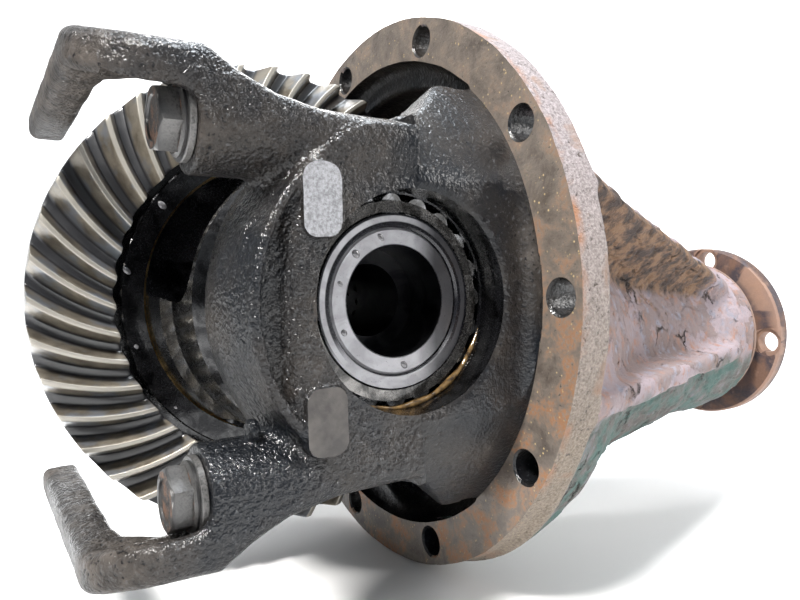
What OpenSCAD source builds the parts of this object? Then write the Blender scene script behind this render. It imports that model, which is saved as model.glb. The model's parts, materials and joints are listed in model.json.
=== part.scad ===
// Differential gear assembly: a carrier housing with its pinion, ring gear,
// differential case and side bearings.
// Origin: centre of the mounting flange's machined face. +X runs forward along
// the nose, Y is the axle axis (the near bearing is at -Y), +Z is up.

/* [Mounting flange] */
// Outer diameter of the mounting flange
flange_d = 274; // [268:1:284]
// Thickness of the mounting flange
flange_t = 16; // [12:1:20]
// Diameter of the opening behind the flange face
opening_d = 234; // [232:1:236]
// Radius of the circle on which the mounting holes lie
mount_hole_circle_r = 126; // [124:0.5:128]
// Diameter of one mounting hole
mount_hole_d = 13.5; // [11:0.5:14]
// Angle from the axle axis to the first pair of mounting holes
mount_angle_1 = 33; // [30:1:38]
// Angle from the axle axis to the second pair of mounting holes
mount_angle_2 = 72.5; // [70:0.5:76]

/* [Layout] */
// Distance of the axle axis behind the flange face
axle_back = 52; // [51:1:54]
// Drop of the pinion axis below the axle axis (hypoid offset)
pinion_drop = 32; // [30:1:34]
// Shift of the pinion axis towards the near side
pinion_side = 25; // [24:1:26]
// Distance from the flange face to the companion flange face
nose_length = 243; // [241:1:246]
// Angle of the differential pinion shaft above the nose direction, at rest
case_clock = 60; // [0:5:90]

/* [Ring gear and pinion] */
// Teeth on the ring gear
ring_teeth = 41; // [41:1:41]
// Teeth on the pinion
pinion_teeth = 11; // [11:1:11]
// Outer radius of the ring gear at the heel
ring_r = 113.7; // [112:0.1:114]
// Inner radius of the ring gear's toothed band
ring_toe_r = 80; // [78:1:84]
// Spiral angle of the ring gear's teeth
spiral = 30; // [26:1:33]
// Pressure angle of the teeth, normal to the tooth
pressure = 20; // [18:0.5:22]

/* [Side bearings] */
// Bore diameter of a side bearing
side_bore_d = 55; // [55:1:55]
// Outside diameter of a side bearing
side_outer_d = 90; // [90:1:90]
// Width of a side bearing
side_width = 23; // [23:1:23]

/* [Differential gears] */
// Teeth on a side gear
side_teeth = 16; // [16:2:16]
// Teeth on a spider gear
spider_teeth = 10; // [10:2:10]
// Tooth module at the outer end of the teeth
bevel_module = 4.9; // [4.7:0.1:5]
// Bore diameter of a side gear, for the axle shaft
axle_bore_d = 29; // [27:1:31]

/* [Companion flange] */
// Outer diameter of the companion flange
companion_d = 110; // [106:1:114]
// Bolt circle diameter of the companion flange
companion_pcd = 94; // [90:1:94]
// Diameter of a bolt hole in the companion flange
companion_hole_d = 11; // [9:0.5:12]

/* [Hidden] */
$fn = 96;

fit = 0.03;            // radial clearance of a seat
run = 0.05;            // radial clearance of a running fit
xd = -axle_back;       // axle axis, along X
yp = -pinion_side;     // pinion axis, along Y
zp = -pinion_drop;     // pinion axis, along Z
companion_r = companion_d / 2;

// A tapered bearing: bore radius, width, outer radius, cup width, roller radius,
// roller length, roller count, pitch radius at mid roller, place of mid roller
SIDE = [side_bore_d / 2, side_width, side_outer_d / 2, 17.5, 4.5, 15, 20, 37.2, 13];
HEAD = [22.5, 24, 42.5, 19, 5, 16, 17, 34, 13.5];
TAIL = [17.5, 23, 36, 18.5, 4.5, 15, 15, 28.3, 13];
taper = 12;            // slope of every roller

near_back = -71;       // back face of the near bearing cone, along Y
far_back = 64;         // back face of the far bearing cone, along Y
shim_t = 1.5;
lip_w = 14.5;          // lip that holds a cup in its pedestal
lip_r = 40.1;
near_front = near_back - side_width;
far_front = far_back + side_width;
near_face = near_front - lip_w;
far_face = far_front + lip_w - 2;
near_inner = near_back - 4;
far_inner = far_back + 3;
trunnion_bore_r = 20.8;

cap_bolt_z = 59;       // cap bolts above and below the axle axis
cap_bolt_r = 6;
near_bolt_y = near_back - 21;
far_bolt_y = far_back + 20;
near_seat_x = -127;    // seats of the cap bolt heads, along X
far_seat_x = -118;
boss_r = 18;
arch_r = 66;
insert_r = 118;        // everything behind the flange passes an opening of this radius

head_back = 59.2;      // back face of the head bearing cone, along X
tail_back = 196;       // back face of the tail bearing cone, along X
seal_x = 201;
barrel_end = 222;
hub_r = 26;
plate_t = 12;          // companion flange plate

yc = -10;              // centre of the differential case, along Y
case_sphere_r = 48;
side_wall = 38;        // from the centre to the seat of a side gear's washer
ring_back = 46;        // back face of the ring gear, along Y
case_flange_t = 12;
pilot_r = 66;
ring_bolt_circle_r = 82;
ring_bolts = 10;
cross_r = 9;

// ---- helpers ----
module along_x(x = 0) { translate([x, 0, 0]) rotate([0, 90, 0]) children(); }
module along_y(y = 0) { translate([0, y, 0]) rotate([-90, 0, 0]) children(); }
module on_axle() { translate([xd, 0, 0]) children(); }
module to_near(y) { translate([xd, y, 0]) rotate([90, 0, 0]) children(); }
module to_far(y) { translate([xd, y, 0]) rotate([-90, 0, 0]) children(); }
module to_nose(x) { translate([x, yp, zp]) rotate([0, 90, 0]) children(); }
module to_rear(x) { translate([x, yp, zp]) rotate([0, -90, 0]) children(); }
module ring(r_out, r_in, h) {
    difference() {
        cylinder(r = r_out, h = h);
        translate([0, 0, -1]) cylinder(r = r_in, h = h + 2);
    }
}
module around(count, phase = 0) {
    for (i = [0 : count - 1]) rotate([0, 0, phase + i * 360 / count]) children();
}

// ---- tapered bearings, from the back face of the cone at z = 0 ----
function roller_line(b, z) = b[7] - (z - b[8]) * tan(taper);
function race_gap(b) = b[4] / cos(taper) + 0.04;
module bearing_cone(b) {
    rib = 4.2;
    lip = 1.4;
    edge = 0.8;
    rotate_extrude() polygon([
        [b[0] + fit, edge], [b[0] + fit + edge, 0],
        [roller_line(b, 2) - race_gap(b) + 2.4, 0],
        [roller_line(b, 2) - race_gap(b) + 2.4, rib],
        [roller_line(b, rib) - race_gap(b), rib],
        [roller_line(b, b[1] - lip) - race_gap(b), b[1] - lip],
        [roller_line(b, b[1]) - race_gap(b) + 2, b[1] - lip],
        [roller_line(b, b[1]) - race_gap(b) + 2, b[1]],
        [b[0] + fit + edge, b[1]], [b[0] + fit, b[1] - edge]]);
}
module bearing_cup(b) {
    start = b[1] - b[3];
    edge = 1;
    rotate_extrude() polygon([
        [b[2] - fit, start], [b[2] - fit, b[1] - edge], [b[2] - fit - edge, b[1]],
        [roller_line(b, b[1]) + race_gap(b), b[1]],
        [roller_line(b, start) + race_gap(b), start]]);
}
module bearing_roller(b, grow = 0) {
    translate([b[7], 0, b[8]]) rotate([0, -taper, 0])
        cylinder(r = b[4] + grow, h = b[5] + 2 * grow, center = true);
}
module bearing_rollers(b) { around(b[6]) bearing_roller(b); }
module bearing_cage(b) {
    from = 4.8;
    to = b[1] - 0.4;
    difference() {
        rotate_extrude() polygon([
            [roller_line(b, from) + 0.8, from], [roller_line(b, to - 1) + 0.8, to - 1],
            [roller_line(b, to) - 2, to - 1], [roller_line(b, to) - 2, to],
            [roller_line(b, to) + 2, to], [roller_line(b, from) + 2, from]]);
        around(b[6]) bearing_roller(b, 0.2);
    }
}

// ---- spiral gear pair: the ring gear's teeth face -Y ----
pitch_r = 97;          // radius that the tooth depths refer to
ring_add = 2.0;
ring_ded = 6.6;
pinion_add = 5.7;
pinion_ded = 2.9;
ring_share = 0.43;     // tooth thickness over pitch, on the pitch surface
ring_slices = 9;
pinion_slices = 14;
function line_angle(x) = atan2(zp, x);
function slope(x) = tan(line_angle(x) - spiral);
function pinion_pitch_r(x) = pinion_teeth / ring_teeth * (x + slope(x) * zp);
function reach(r) = sqrt(r * r - zp * zp);
function ring_pitch_y(r) = yp + pinion_pitch_r(reach(r));
function ring_twist(r) = tan(spiral) * ln(pitch_r / r) * 180 / PI;
function ring_tip_y(r) = ring_pitch_y(r) - ring_add * r / pitch_r;
function ring_root_y(r) = ring_pitch_y(r) + ring_ded * r / pitch_r;
// One tooth's outline at radius r: angle and height of each corner
function ring_tooth(r) =
    let (side_slope = tan(pressure) / cos(spiral),
         half = PI * r / ring_teeth * ring_share,
         tip = half - ring_add * r / pitch_r * side_slope,
         root = half + ring_ded * r / pitch_r * side_slope)
    [for (p = [[-root, ring_root_y(r)], [-tip, ring_tip_y(r)],
               [tip, ring_tip_y(r)], [root, ring_root_y(r)]])
        [p[0] / r * 180 / PI, p[1]]];
function ring_section(r) = [for (i = [0 : ring_teeth - 1]) for (p = ring_tooth(r))
    [r * cos(i * 360 / ring_teeth + ring_twist(r) + p[0]), p[1],
     r * sin(i * 360 / ring_teeth + ring_twist(r) + p[0])]];
function flat_section(r, y) = [for (p = ring_section(r)) [p[0], y, p[2]]];
function strip(n, a, b) = [for (i = [0 : n - 1]) [a + i, a + (i + 1) % n, b + (i + 1) % n, b + i]];
module ring_tooth_band(y_base) {
    n = ring_teeth * 4;
    rs = [for (i = [0 : ring_slices]) ring_toe_r + (ring_r - ring_toe_r) * i / ring_slices];
    tops = [for (r = rs) for (p = ring_section(r)) p];
    base = ring_slices + 1;
    polyhedron(
        points = concat(tops, flat_section(ring_toe_r, y_base), flat_section(ring_r, y_base)),
        faces = concat(
            [for (i = [0 : ring_slices - 1]) for (f = strip(n, i * n, (i + 1) * n)) [f[0], f[1], f[2]]],
            [for (i = [0 : ring_slices - 1]) for (f = strip(n, i * n, (i + 1) * n)) [f[0], f[2], f[3]]],
            [for (f = strip(n, base * n, 0)) [f[0], f[1], f[2]]],
            [for (f = strip(n, base * n, 0)) [f[0], f[2], f[3]]],
            [for (f = strip(n, ring_slices * n, (base + 1) * n)) [f[0], f[1], f[2]]],
            [for (f = strip(n, ring_slices * n, (base + 1) * n)) [f[0], f[2], f[3]]],
            [for (f = strip(n, (base + 1) * n, base * n)) [f[0], f[1], f[2]]],
            [for (f = strip(n, (base + 1) * n, base * n)) [f[0], f[2], f[3]]]));
}

// Pinion: each slot is the space that one ring gear tooth sweeps as both gears turn.
// Its edges are found at distance x ahead of the axle axis and radius rho on the pinion.
gear_ratio = ring_teeth / pinion_teeth;
backlash = 0.18;
function ring_half(r, y) = (PI * r / ring_teeth * ring_share
    + (y - ring_pitch_y(r)) * tan(pressure) / cos(spiral)) / r * 180 / PI;
function swept(x, rho, edge) = [for (phi = [-60 : 3 : 60])
    let (y = yp + rho * cos(phi), z = zp + rho * sin(phi), r = sqrt(x * x + z * z))
    if (r > -zp && y > ring_tip_y(r))
        phi + gear_ratio * (ring_twist(r) - atan2(z, x) + edge * ring_half(r, y))];
function slot_low(x, rho) = min(swept(x, rho, -1)) - backlash / rho * 180 / PI;
function slot_high(x, rho) = max(swept(x, rho, 1)) + backlash / rho * 180 / PI;
function pinion_tooth(x) =
    let (scale = sqrt(x * x + zp * zp) / pitch_r,
         low = pinion_pitch_r(x) - pinion_ded * scale,
         high = pinion_pitch_r(x) + pinion_add * scale,
         deep = pinion_pitch_r(x) - ring_add * scale + 0.3,
         rhos = [for (i = [0 : 4]) low + (high - low) * i / 4])
    concat([for (i = [0 : 4]) [rhos[i], slot_high(x, max(rhos[i], deep))]],
           [for (i = [4 : -1 : 0]) [rhos[i], slot_low(x, max(rhos[i], deep)) + 360 / pinion_teeth]]);
function pinion_section(x) = let (tooth = pinion_tooth(x))
    [for (i = [0 : pinion_teeth - 1]) for (p = tooth)
        let (a = i * 360 / pinion_teeth + p[1])
        [xd + x, yp + p[0] * cos(a), zp + p[0] * sin(a)]];
pinion_toe = 71;       // ends of the pinion's teeth, ahead of the axle axis
pinion_heel = 110;
module pinion_teeth_body() {
    n = pinion_teeth * 10;
    last = pinion_slices * n;
    xs = [for (i = [0 : pinion_slices]) pinion_toe + (pinion_heel - pinion_toe) * i / pinion_slices];
    ends = [[xd + pinion_toe, yp, zp], [xd + pinion_heel, yp, zp]];
    polyhedron(
        points = concat([for (x = xs) for (p = pinion_section(x)) p], ends),
        faces = concat(
            [for (i = [0 : pinion_slices - 1]) for (f = strip(n, i * n, (i + 1) * n)) [f[0], f[2], f[1]]],
            [for (i = [0 : pinion_slices - 1]) for (f = strip(n, i * n, (i + 1) * n)) [f[0], f[3], f[2]]],
            [for (i = [0 : n - 1]) [last + n, i, (i + 1) % n]],
            [for (i = [0 : n - 1]) [last + n + 1, last + (i + 1) % n, last + i]]));
}

// ---- straight bevel gears, apex at the origin, heel towards +Z ----
bevel_face = 14;
bevel_pressure = 24;
bevel_share = 0.485;
bevel_add = 0.8;
bevel_ded = 0.95;
side_cone = atan(side_teeth / spider_teeth);
spider_cone = 90 - side_cone;
function involute(a) = tan(a) * 180 / PI - a;
cone_distance = bevel_module * side_teeth / 2 / sin(side_cone);
function bevel_half(teeth, cone, r) =
    let (r_v = bevel_module * teeth / 2 / cos(cone), base_r = r_v * cos(bevel_pressure))
    (180 / teeth * cos(cone) * bevel_share + involute(bevel_pressure)
        - involute(acos(min(1, base_r / max(r, base_r))))) / cos(cone);
function bevel_flank(teeth, cone) =
    let (r_v = bevel_module * teeth / 2 / cos(cone))
    [for (i = [0 : 5]) let (d = bevel_module * (-bevel_ded + (bevel_add + bevel_ded) * i / 5))
        [bevel_module * teeth / 2 + d * cos(cone), cone_distance * cos(cone) - d * sin(cone),
         bevel_half(teeth, cone, r_v + d)]];
function bevel_tooth(teeth, cone) = let (f = bevel_flank(teeth, cone))
    concat([for (i = [0 : 5]) [f[i][0], f[i][1], -f[i][2]]], [for (i = [5 : -1 : 0]) f[i]]);
function bevel_outline(teeth, cone, k) = [for (i = [0 : teeth - 1]) for (p = bevel_tooth(teeth, cone))
    [k * p[0] * cos(i * 360 / teeth + p[2]), k * p[0] * sin(i * 360 / teeth + p[2]), k * p[1]]];
module bevel_teeth(teeth, cone) {
    n = teeth * 12;
    toe = 1 - bevel_face / cone_distance;
    root = bevel_flank(teeth, cone)[0];
    polyhedron(
        points = concat(bevel_outline(teeth, cone, 1), bevel_outline(teeth, cone, toe),
                        [[0, 0, root[1]], [0, 0, root[1] * toe]]),
        faces = concat(
            [for (f = strip(n, 0, n)) [f[0], f[1], f[2]]],
            [for (f = strip(n, 0, n)) [f[0], f[2], f[3]]],
            [for (i = [0 : n - 1]) [2 * n, (i + 1) % n, i]],
            [for (i = [0 : n - 1]) [2 * n + 1, n + i, n + (i + 1) % n]]));
}
module in_case() { translate([xd, yc, 0]) rotate([0, -case_clock, 0]) children(); }
module side_gear() {
    root = bevel_flank(side_teeth, side_cone)[0];
    hub_r = trunnion_bore_r - run;
    difference() {
        union() {
            bevel_teeth(side_teeth, side_cone);
            translate([0, 0, root[1] - 0.5]) cylinder(r = root[0] - 1, h = side_wall - 1 - root[1] - fit);
            translate([0, 0, root[1]]) cylinder(r = hub_r, h = 62 - root[1]);
        }
        cylinder(r = axle_bore_d / 2, h = 80);
    }
}
module spider_gear() {
    root = bevel_flank(spider_teeth, spider_cone)[0];
    crown_r = cross_r + 5;
    crown = sqrt(pow(case_sphere_r - 1.6, 2) - crown_r * crown_r);
    difference() {
        union() {
            bevel_teeth(spider_teeth, spider_cone);
            translate([0, 0, root[1] - 3])
                cylinder(r1 = root[0] - 1, r2 = crown_r, h = crown - root[1] + 3);
        }
        cylinder(r = cross_r + run, h = 60);
    }
}

// ---- housing ----
module mount_holes() {
    for (a = [0, mount_angle_1, mount_angle_2, 180 - mount_angle_2, 180 - mount_angle_1])
        for (s = [0, 180]) rotate([a + s, 0, 0])
            translate([-1, mount_hole_circle_r, 0]) rotate([0, 90, 0])
                cylinder(d = mount_hole_d, h = flange_t + 2);
}
module nose_outside() {
    to_nose(0) rotate_extrude() polygon([
        [0, 12], [100, 12], [90, 42], [67, 84], [60, 112], [55, 146], [51, 164], [50, 205],
        [47, 211], [47, barrel_end], [0, barrel_end]]);
}
// Closes the opening behind the flange, inside the ring of mounting holes
module flange_dish() {
    along_x() rotate_extrude() polygon([[0, 10], [116, 10], [116, 22], [112, 28], [104, 31], [0, 31]]);
}
module gear_bulge() {
    intersection() {
        on_axle() along_y(-10) cylinder(r = 125, h = 78);
        translate([6, -130, -130]) cube([90, 260, 260]);
        rotate([0, 90, 0]) cylinder(r = 131, h = 90);
    }
}
// A rib stands on the nose, in a plane through the pinion axis, at an angle from +Y
module rib(angle, foot) {
    top = 54;
    rib_t = 9;
    to_nose(0) rotate([0, 0, angle + 90]) rotate([90, 0, 0]) translate([0, 0, -rib_t / 2])
        linear_extrude(rib_t) polygon([[30, 13], [foot, 13], [foot, 19], [top, 196], [30, 200]]);
}
module housing_ribs() {
    rib(142, 128);
    rib(187, 104);
    rib(90, 158);
    rib(40, 160);
    rib(-8, 148);
}
module housing_hollow() {
    along_x(-1) cylinder(d = opening_d, h = 9);
    along_x(7) cylinder(r = opening_d / 2 - 13, h = 15);
    to_nose(0) rotate_extrude() polygon([
        [0, 8], [84, 8], [84, 20], [60, 44], [50, 56], [50, 61], [HEAD[2], 61],
        [HEAD[2], head_back + HEAD[1]], [35, head_back + HEAD[1]], [35, 92], [44, 98], [42, 120],
        [34, 150], [31, 165], [31, tail_back - TAIL[1]], [TAIL[2], tail_back - TAIL[1]],
        [TAIL[2], seal_x - 1], [40, seal_x - 1], [40, barrel_end + 1], [0, barrel_end + 1]]);
    on_axle() along_y(-4) cylinder(r = 117, h = 53);
    on_axle() along_y(48) cylinder(r = 97, h = 18);
    on_axle() along_y(near_inner) cylinder(r = 74, h = far_inner - near_inner);
}
// Side view outline of a bearing pedestal, from the parting plane to the flange
module pedestal_outline() {
    polygon([[xd, -68], [-42, -70], [-30, -80], [-12, -96], [0, -108], [24, -108],
             [24, 108], [0, 108], [-12, 96], [-30, 80], [-42, 70], [xd, 68]]);
}
module pedestal(y_low, y_high) {
    intersection() {
        translate([0, y_high, 0]) rotate([90, 0, 0]) linear_extrude(y_high - y_low) pedestal_outline();
        along_x(-90) cylinder(r = opening_d / 2, h = 130);
    }
}
module side_bores() {
    to_near(0) cylinder(r = lip_r, h = 130);
    to_near(0) cylinder(r = side_outer_d / 2, h = -near_front);
    to_far(0) cylinder(r = lip_r, h = 130);
    to_far(0) cylinder(r = side_outer_d / 2, h = far_front);
}
module cap_bolt_places(near = true, far = true) {
    for (s = [-1, 1]) {
        if (near) translate([near_seat_x, near_bolt_y, s * cap_bolt_z]) rotate([0, 90, 0]) children();
        if (far) translate([far_seat_x, far_bolt_y, s * cap_bolt_z]) rotate([0, 90, 0]) children();
    }
}
module carrier_housing() {
    color("dimgray") difference() {
        union() {
            difference() {
                union() {
                    along_x() cylinder(d = flange_d, h = flange_t);
                    flange_dish();
                    nose_outside();
                    gear_bulge();
                    housing_ribs();
                }
                housing_hollow();
            }
            pedestal(near_face, near_inner);
            pedestal(far_inner, far_face);
        }
        mount_holes();
        side_bores();
        cap_bolt_places() cylinder(r = cap_bolt_r + 0.1, h = near_seat_x * -1 - 18);
    }
}

// ---- bearing caps ----
module cap_arch(y_low, y_high, seat_x) {
    intersection() {
        union() {
            on_axle() along_y(y_low) cylinder(r = arch_r, h = y_high - y_low);
            for (s = [-1, 1]) translate([seat_x, (y_low + y_high) / 2, s * cap_bolt_z]) rotate([0, 90, 0])
                cylinder(r = boss_r, h = xd - seat_x);
        }
        translate([-200, y_low, -100]) cube([200 + xd, y_high - y_low, 200]);
        along_x(-200) cylinder(r = insert_r, h = 200);
    }
}
// Guard arm: from a bolt boss rearwards, then across towards the ring gear's rim
hook_z = 70;
hook_t = 14;
hook_back = -161;
hook_leg = 14;
hook_tip = 26;
hook_round = 24;
module hook_outline() {
    corner_y = near_bolt_y - 16;
    difference() {
        union() {
            translate([hook_back + hook_round, corner_y])
                square([xd - 14 - hook_back - hook_round, 36]);
            translate([hook_back, corner_y + hook_round])
                square([hook_leg, hook_tip - corner_y - hook_round]);
            translate([hook_back + hook_round, corner_y + hook_round])
                circle(r = hook_round);
        }
        translate([hook_back + hook_leg + 40, corner_y + 36 + 20]) circle(r = 20);
    }
}
module near_bearing_cap() {
    pad_x = xd - 37;
    color("dimgray") difference() {
        union() {
            cap_arch(near_face, near_inner, near_seat_x);
            intersection() {
                for (s = [-1, 1]) {
                    translate([0, 0, s > 0 ? hook_z : -hook_z - hook_t])
                        linear_extrude(hook_t) hook_outline();
                    translate([pad_x - 7, near_face - 2, s > 0 ? 24 : -50])
                        cube([14, 12, 26]);
                }
                along_x(-200) cylinder(r = insert_r + 2, h = 200);
            }
        }
        side_bores();
        to_near(near_face + 5) intersection() {
            ring(59, 47, 20);
            translate([-70, -22, 0]) cube([40, 44, 20]);
        }
        cap_bolt_places(far = false) translate([0, 0, -30]) cylinder(r = cap_bolt_r + 0.25, h = 140);
        cap_bolt_places(far = false) translate([0, 0, -40]) cylinder(r = 14, h = 40);
    }
}
module far_bearing_cap() {
    color("dimgray") difference() {
        cap_arch(far_inner, far_face, far_seat_x);
        side_bores();
        cap_bolt_places(near = false) translate([0, 0, -30]) cylinder(r = cap_bolt_r + 0.25, h = 140);
    }
}
washer_t = 2.5;
head_h = 8;
head_flats = 19;
module cap_bolts() {
    color("dimgray") cap_bolt_places() {
        cylinder(r = cap_bolt_r, h = 104);
        translate([0, 0, -washer_t - 1.5]) cylinder(r = 11.5, h = 1.5);
        translate([0, 0, -washer_t - head_h]) cylinder(d = head_flats / cos(30), h = head_h, $fn = 6);
        translate([0, 0, -washer_t]) cylinder(r = cap_bolt_r, h = washer_t);
    }
}
module cap_washers() {
    color("gray") cap_bolt_places() translate([0, 0, -washer_t]) ring(13, cap_bolt_r + 0.3, washer_t);
}

// ---- side bearings ----
module near_bearing_cup() { color("slategray") to_near(near_back) bearing_cup(SIDE); }
module near_bearing_cage() { color("dimgray") to_near(near_back) bearing_cage(SIDE); }
module near_bearing_rollers() { color("silver") to_near(near_back) bearing_rollers(SIDE); }
module near_bearing_cone() { color("silver") to_near(near_back) bearing_cone(SIDE); }
module far_bearing_cup() { color("slategray") to_far(far_back) bearing_cup(SIDE); }
module far_bearing_cage() { color("dimgray") to_far(far_back) bearing_cage(SIDE); }
module far_bearing_rollers() { color("silver") to_far(far_back) bearing_rollers(SIDE); }
module far_bearing_cone() { color("silver") to_far(far_back) bearing_cone(SIDE); }
module side_shim() { color("goldenrod") ring(34, side_bore_d / 2 + fit, shim_t); }
module near_side_shim() { to_near(near_back + shim_t) side_shim(); }
module far_side_shim() { to_far(far_back - shim_t) side_shim(); }

// ---- differential case ----
module case_outside() {
    seat_r = side_bore_d / 2;
    flange_end = ring_back + case_flange_t;
    on_axle() along_y() rotate_extrude() polygon([
        [0, near_front + 0.6], [seat_r - 1, near_front + 0.6], [seat_r, near_front + 1.6],
        [seat_r, near_back + shim_t], [36, near_back + shim_t], [38, -62], [52, -54], [61, -42],
        [63, -20], [pilot_r - fit, -12], [pilot_r - fit, ring_back], [94, ring_back],
        [94, flange_end], [50, flange_end], [36, far_back - shim_t - 2], [36, far_back - shim_t],
        [seat_r, far_back - shim_t], [seat_r, far_front - 1.6], [seat_r - 1, far_front - 0.6],
        [0, far_front - 0.6]]);
}
module case_hollow() {
    translate([xd, yc, 0]) {
        sphere(r = case_sphere_r);
        along_y(-side_wall) cylinder(r = 42, h = 2 * side_wall);
    }
    on_axle() along_y(-120) cylinder(r = trunnion_bore_r, h = 240);
    for (s = [0, 180]) in_case() rotate([0, s, 0]) translate([0, 0, 30]) window_block();
}
module window_block() {
    width = 62;
    height = 58;
    corner = 14;
    linear_extrude(50) {
        square([width - 2 * corner, height], center = true);
        square([width, height - 2 * corner], center = true);
        for (sx = [-1, 1]) for (sy = [-1, 1])
            translate([sx * (width / 2 - corner), sy * (height / 2 - corner)]) circle(r = corner);
    }
}
module ring_bolt_places() {
    translate([xd, ring_back, 0]) rotate([-90, 0, 0]) around(ring_bolts, 18)
        translate([ring_bolt_circle_r, 0, 0]) children();
}
module differential_case() {
    color("dimgray") difference() {
        case_outside();
        case_hollow();
        in_case() rotate([0, 90, 0]) cylinder(r = cross_r + fit, h = 140, center = true);
        in_case() translate([-50, 0, 0]) rotate([90, 0, 0]) cylinder(r = 3 + fit, h = 80, center = true);
        ring_bolt_places() translate([0, 0, -1]) cylinder(r = 5.2, h = case_flange_t + 2);
    }
}
module cross_shaft() {
    color("silver") in_case() difference() {
        rotate([0, 90, 0]) cylinder(r = cross_r, h = 124, center = true);
        translate([-50, 0, 0]) rotate([90, 0, 0]) cylinder(r = 3 + fit, h = 60, center = true);
    }
}
module lock_pin() {
    color("silver") in_case() translate([-50, 0, 0]) rotate([90, 0, 0])
        cylinder(r = 3, h = 60, center = true);
}

// ---- ring gear and pinion ----
ring_base = 26;        // plane where the toothed band meets the blank
module ring_gear() {
    color("silver") {
        on_axle() ring_tooth_band(ring_base);
        difference() {
            on_axle() along_y(ring_base) rotate_extrude() polygon([
                [pilot_r, 0], [112.5, 0], [110, 6], [105, ring_back - ring_base],
                [pilot_r, ring_back - ring_base]]);
            ring_bolt_places() translate([0, 0, -15]) cylinder(r = 5, h = 20);
        }
        on_axle() along_y(ring_base - 14) ring(ring_toe_r - 3, pilot_r, 14);
    }
}
module ring_gear_bolts() {
    color("dimgray") ring_bolt_places() {
        translate([0, 0, -14]) cylinder(r = 4.95, h = 14 + case_flange_t);
        translate([0, 0, case_flange_t]) cylinder(d = 16 / cos(30), h = 6.5, $fn = 6);
    }
}
module pinion() {
    shaft_from = xd + pinion_heel;
    color("silver") {
        pinion_teeth_body();
        to_nose(shaft_from) cylinder(r = 34, h = head_back - 1.2 - shaft_from);
        to_nose(shaft_from) rotate_extrude() polygon([
            [0, 0], [HEAD[0], 0], [HEAD[0], head_back + HEAD[1] - shaft_from], [19.5, 86 - shaft_from],
            [19.5, 150 - shaft_from], [TAIL[0], 168 - shaft_from], [TAIL[0], tail_back + 1 - shaft_from],
            [16, tail_back + 2 - shaft_from], [16, 224 - shaft_from], [12, 225 - shaft_from],
            [12, 239 - shaft_from], [11, 240 - shaft_from], [0, 240 - shaft_from]]);
    }
}
module head_bearing_cup() { color("slategray") to_nose(head_back) bearing_cup(HEAD); }
module head_bearing_cage() { color("dimgray") to_nose(head_back) bearing_cage(HEAD); }
module head_bearing_rollers() { color("silver") to_nose(head_back) bearing_rollers(HEAD); }
module head_bearing_cone() { color("silver") to_nose(head_back) bearing_cone(HEAD); }
module tail_bearing_cup() { color("slategray") to_rear(tail_back) bearing_cup(TAIL); }
module tail_bearing_cage() { color("dimgray") to_rear(tail_back) bearing_cage(TAIL); }
module tail_bearing_rollers() { color("silver") to_rear(tail_back) bearing_rollers(TAIL); }
module tail_bearing_cone() { color("silver") to_rear(tail_back) bearing_cone(TAIL); }
module depth_shim() { color("goldenrod") to_nose(head_back - 1.2) ring(31, HEAD[0] + fit, 1.2); }
module crush_spacer() {
    from = head_back + HEAD[1];
    to = tail_back - TAIL[1];
    color("gray") to_nose(from) rotate_extrude() polygon([
        [22.6, 0], [25, 0], [25, 30], [28, 36], [25, 42], [23.5, to - from - 12], [22, to - from],
        [19.8, to - from], [21.3, to - from - 12], [22.6, 42], [25.6, 36], [22.6, 30]]);
}
module oil_slinger() { color("gray") to_nose(tail_back) ring(31, TAIL[0] + fit, 2); }
module oil_seal() {
    color("black") to_nose(seal_x) rotate_extrude() polygon([
        [40 - fit, 0], [40 - fit, 11], [hub_r + 0.06, 11], [hub_r + 0.06, 9], [30, 7], [37, 7], [37, 0]]);
}
module companion_flange() {
    from = tail_back + 2;
    color("saddlebrown") difference() {
        to_nose(from) rotate_extrude() polygon([
            [16 + fit, 0], [hub_r, 0], [hub_r, nose_length - plate_t - 5 - from],
            [hub_r + 5, nose_length - plate_t - from], [companion_r - 1, nose_length - plate_t - from],
            [companion_r, nose_length - plate_t - from + 1], [companion_r, nose_length - from - 1],
            [companion_r - 1, nose_length - from], [24, nose_length - from],
            [24, nose_length - 18 - from], [16 + fit, nose_length - 18 - from]]);
        to_nose(nose_length - plate_t - 1) around(4) translate([companion_pcd / 2, 0, 0])
            cylinder(d = companion_hole_d, h = plate_t + 2);
    }
}
module dust_deflector() {
    color("dimgray") to_nose(barrel_end - 4) rotate_extrude() polygon([
        [49, 0], [51, 0], [51, 7.5], [hub_r + fit, 7.5], [hub_r + fit, 5.8], [49, 5.8]]);
}
module pinion_washer() { color("gray") to_nose(nose_length - 18) ring(20, 16.2, 3); }
module pinion_nut() {
    color("gray") to_nose(nose_length - 15) difference() {
        cylinder(d = 36 / cos(30), h = 12, $fn = 6);
        translate([0, 0, -1]) cylinder(r = 12.05, h = 14);
    }
}

// ---- differential gears ----
module near_side_gear() { color("silver") in_case() rotate([90, 0, 0]) side_gear(); }
module far_side_gear() { color("silver") in_case() rotate([-90, 0, 0]) side_gear(); }
module side_washer() { translate([0, 0, side_wall - 1.5]) ring(38, trunnion_bore_r + 0.4, 1.5 - fit); }
module near_side_washer() { color("goldenrod") in_case() rotate([90, 0, 0]) side_washer(); }
module far_side_washer() { color("goldenrod") in_case() rotate([-90, 0, 0]) side_washer(); }
module upper_spider_gear() { color("silver") in_case() rotate([0, 90, 0]) spider_gear(); }
module lower_spider_gear() { color("silver") in_case() rotate([0, -90, 0]) spider_gear(); }
module spider_washer() {
    difference() {
        intersection() {
            sphere(r = case_sphere_r - fit);
            cylinder(r = 21, h = 60);
        }
        sphere(r = case_sphere_r - 1.5);
        cylinder(r = cross_r + 0.3, h = 60);
    }
}
module upper_spider_washer() { color("goldenrod") in_case() rotate([0, 90, 0]) spider_washer(); }
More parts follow.
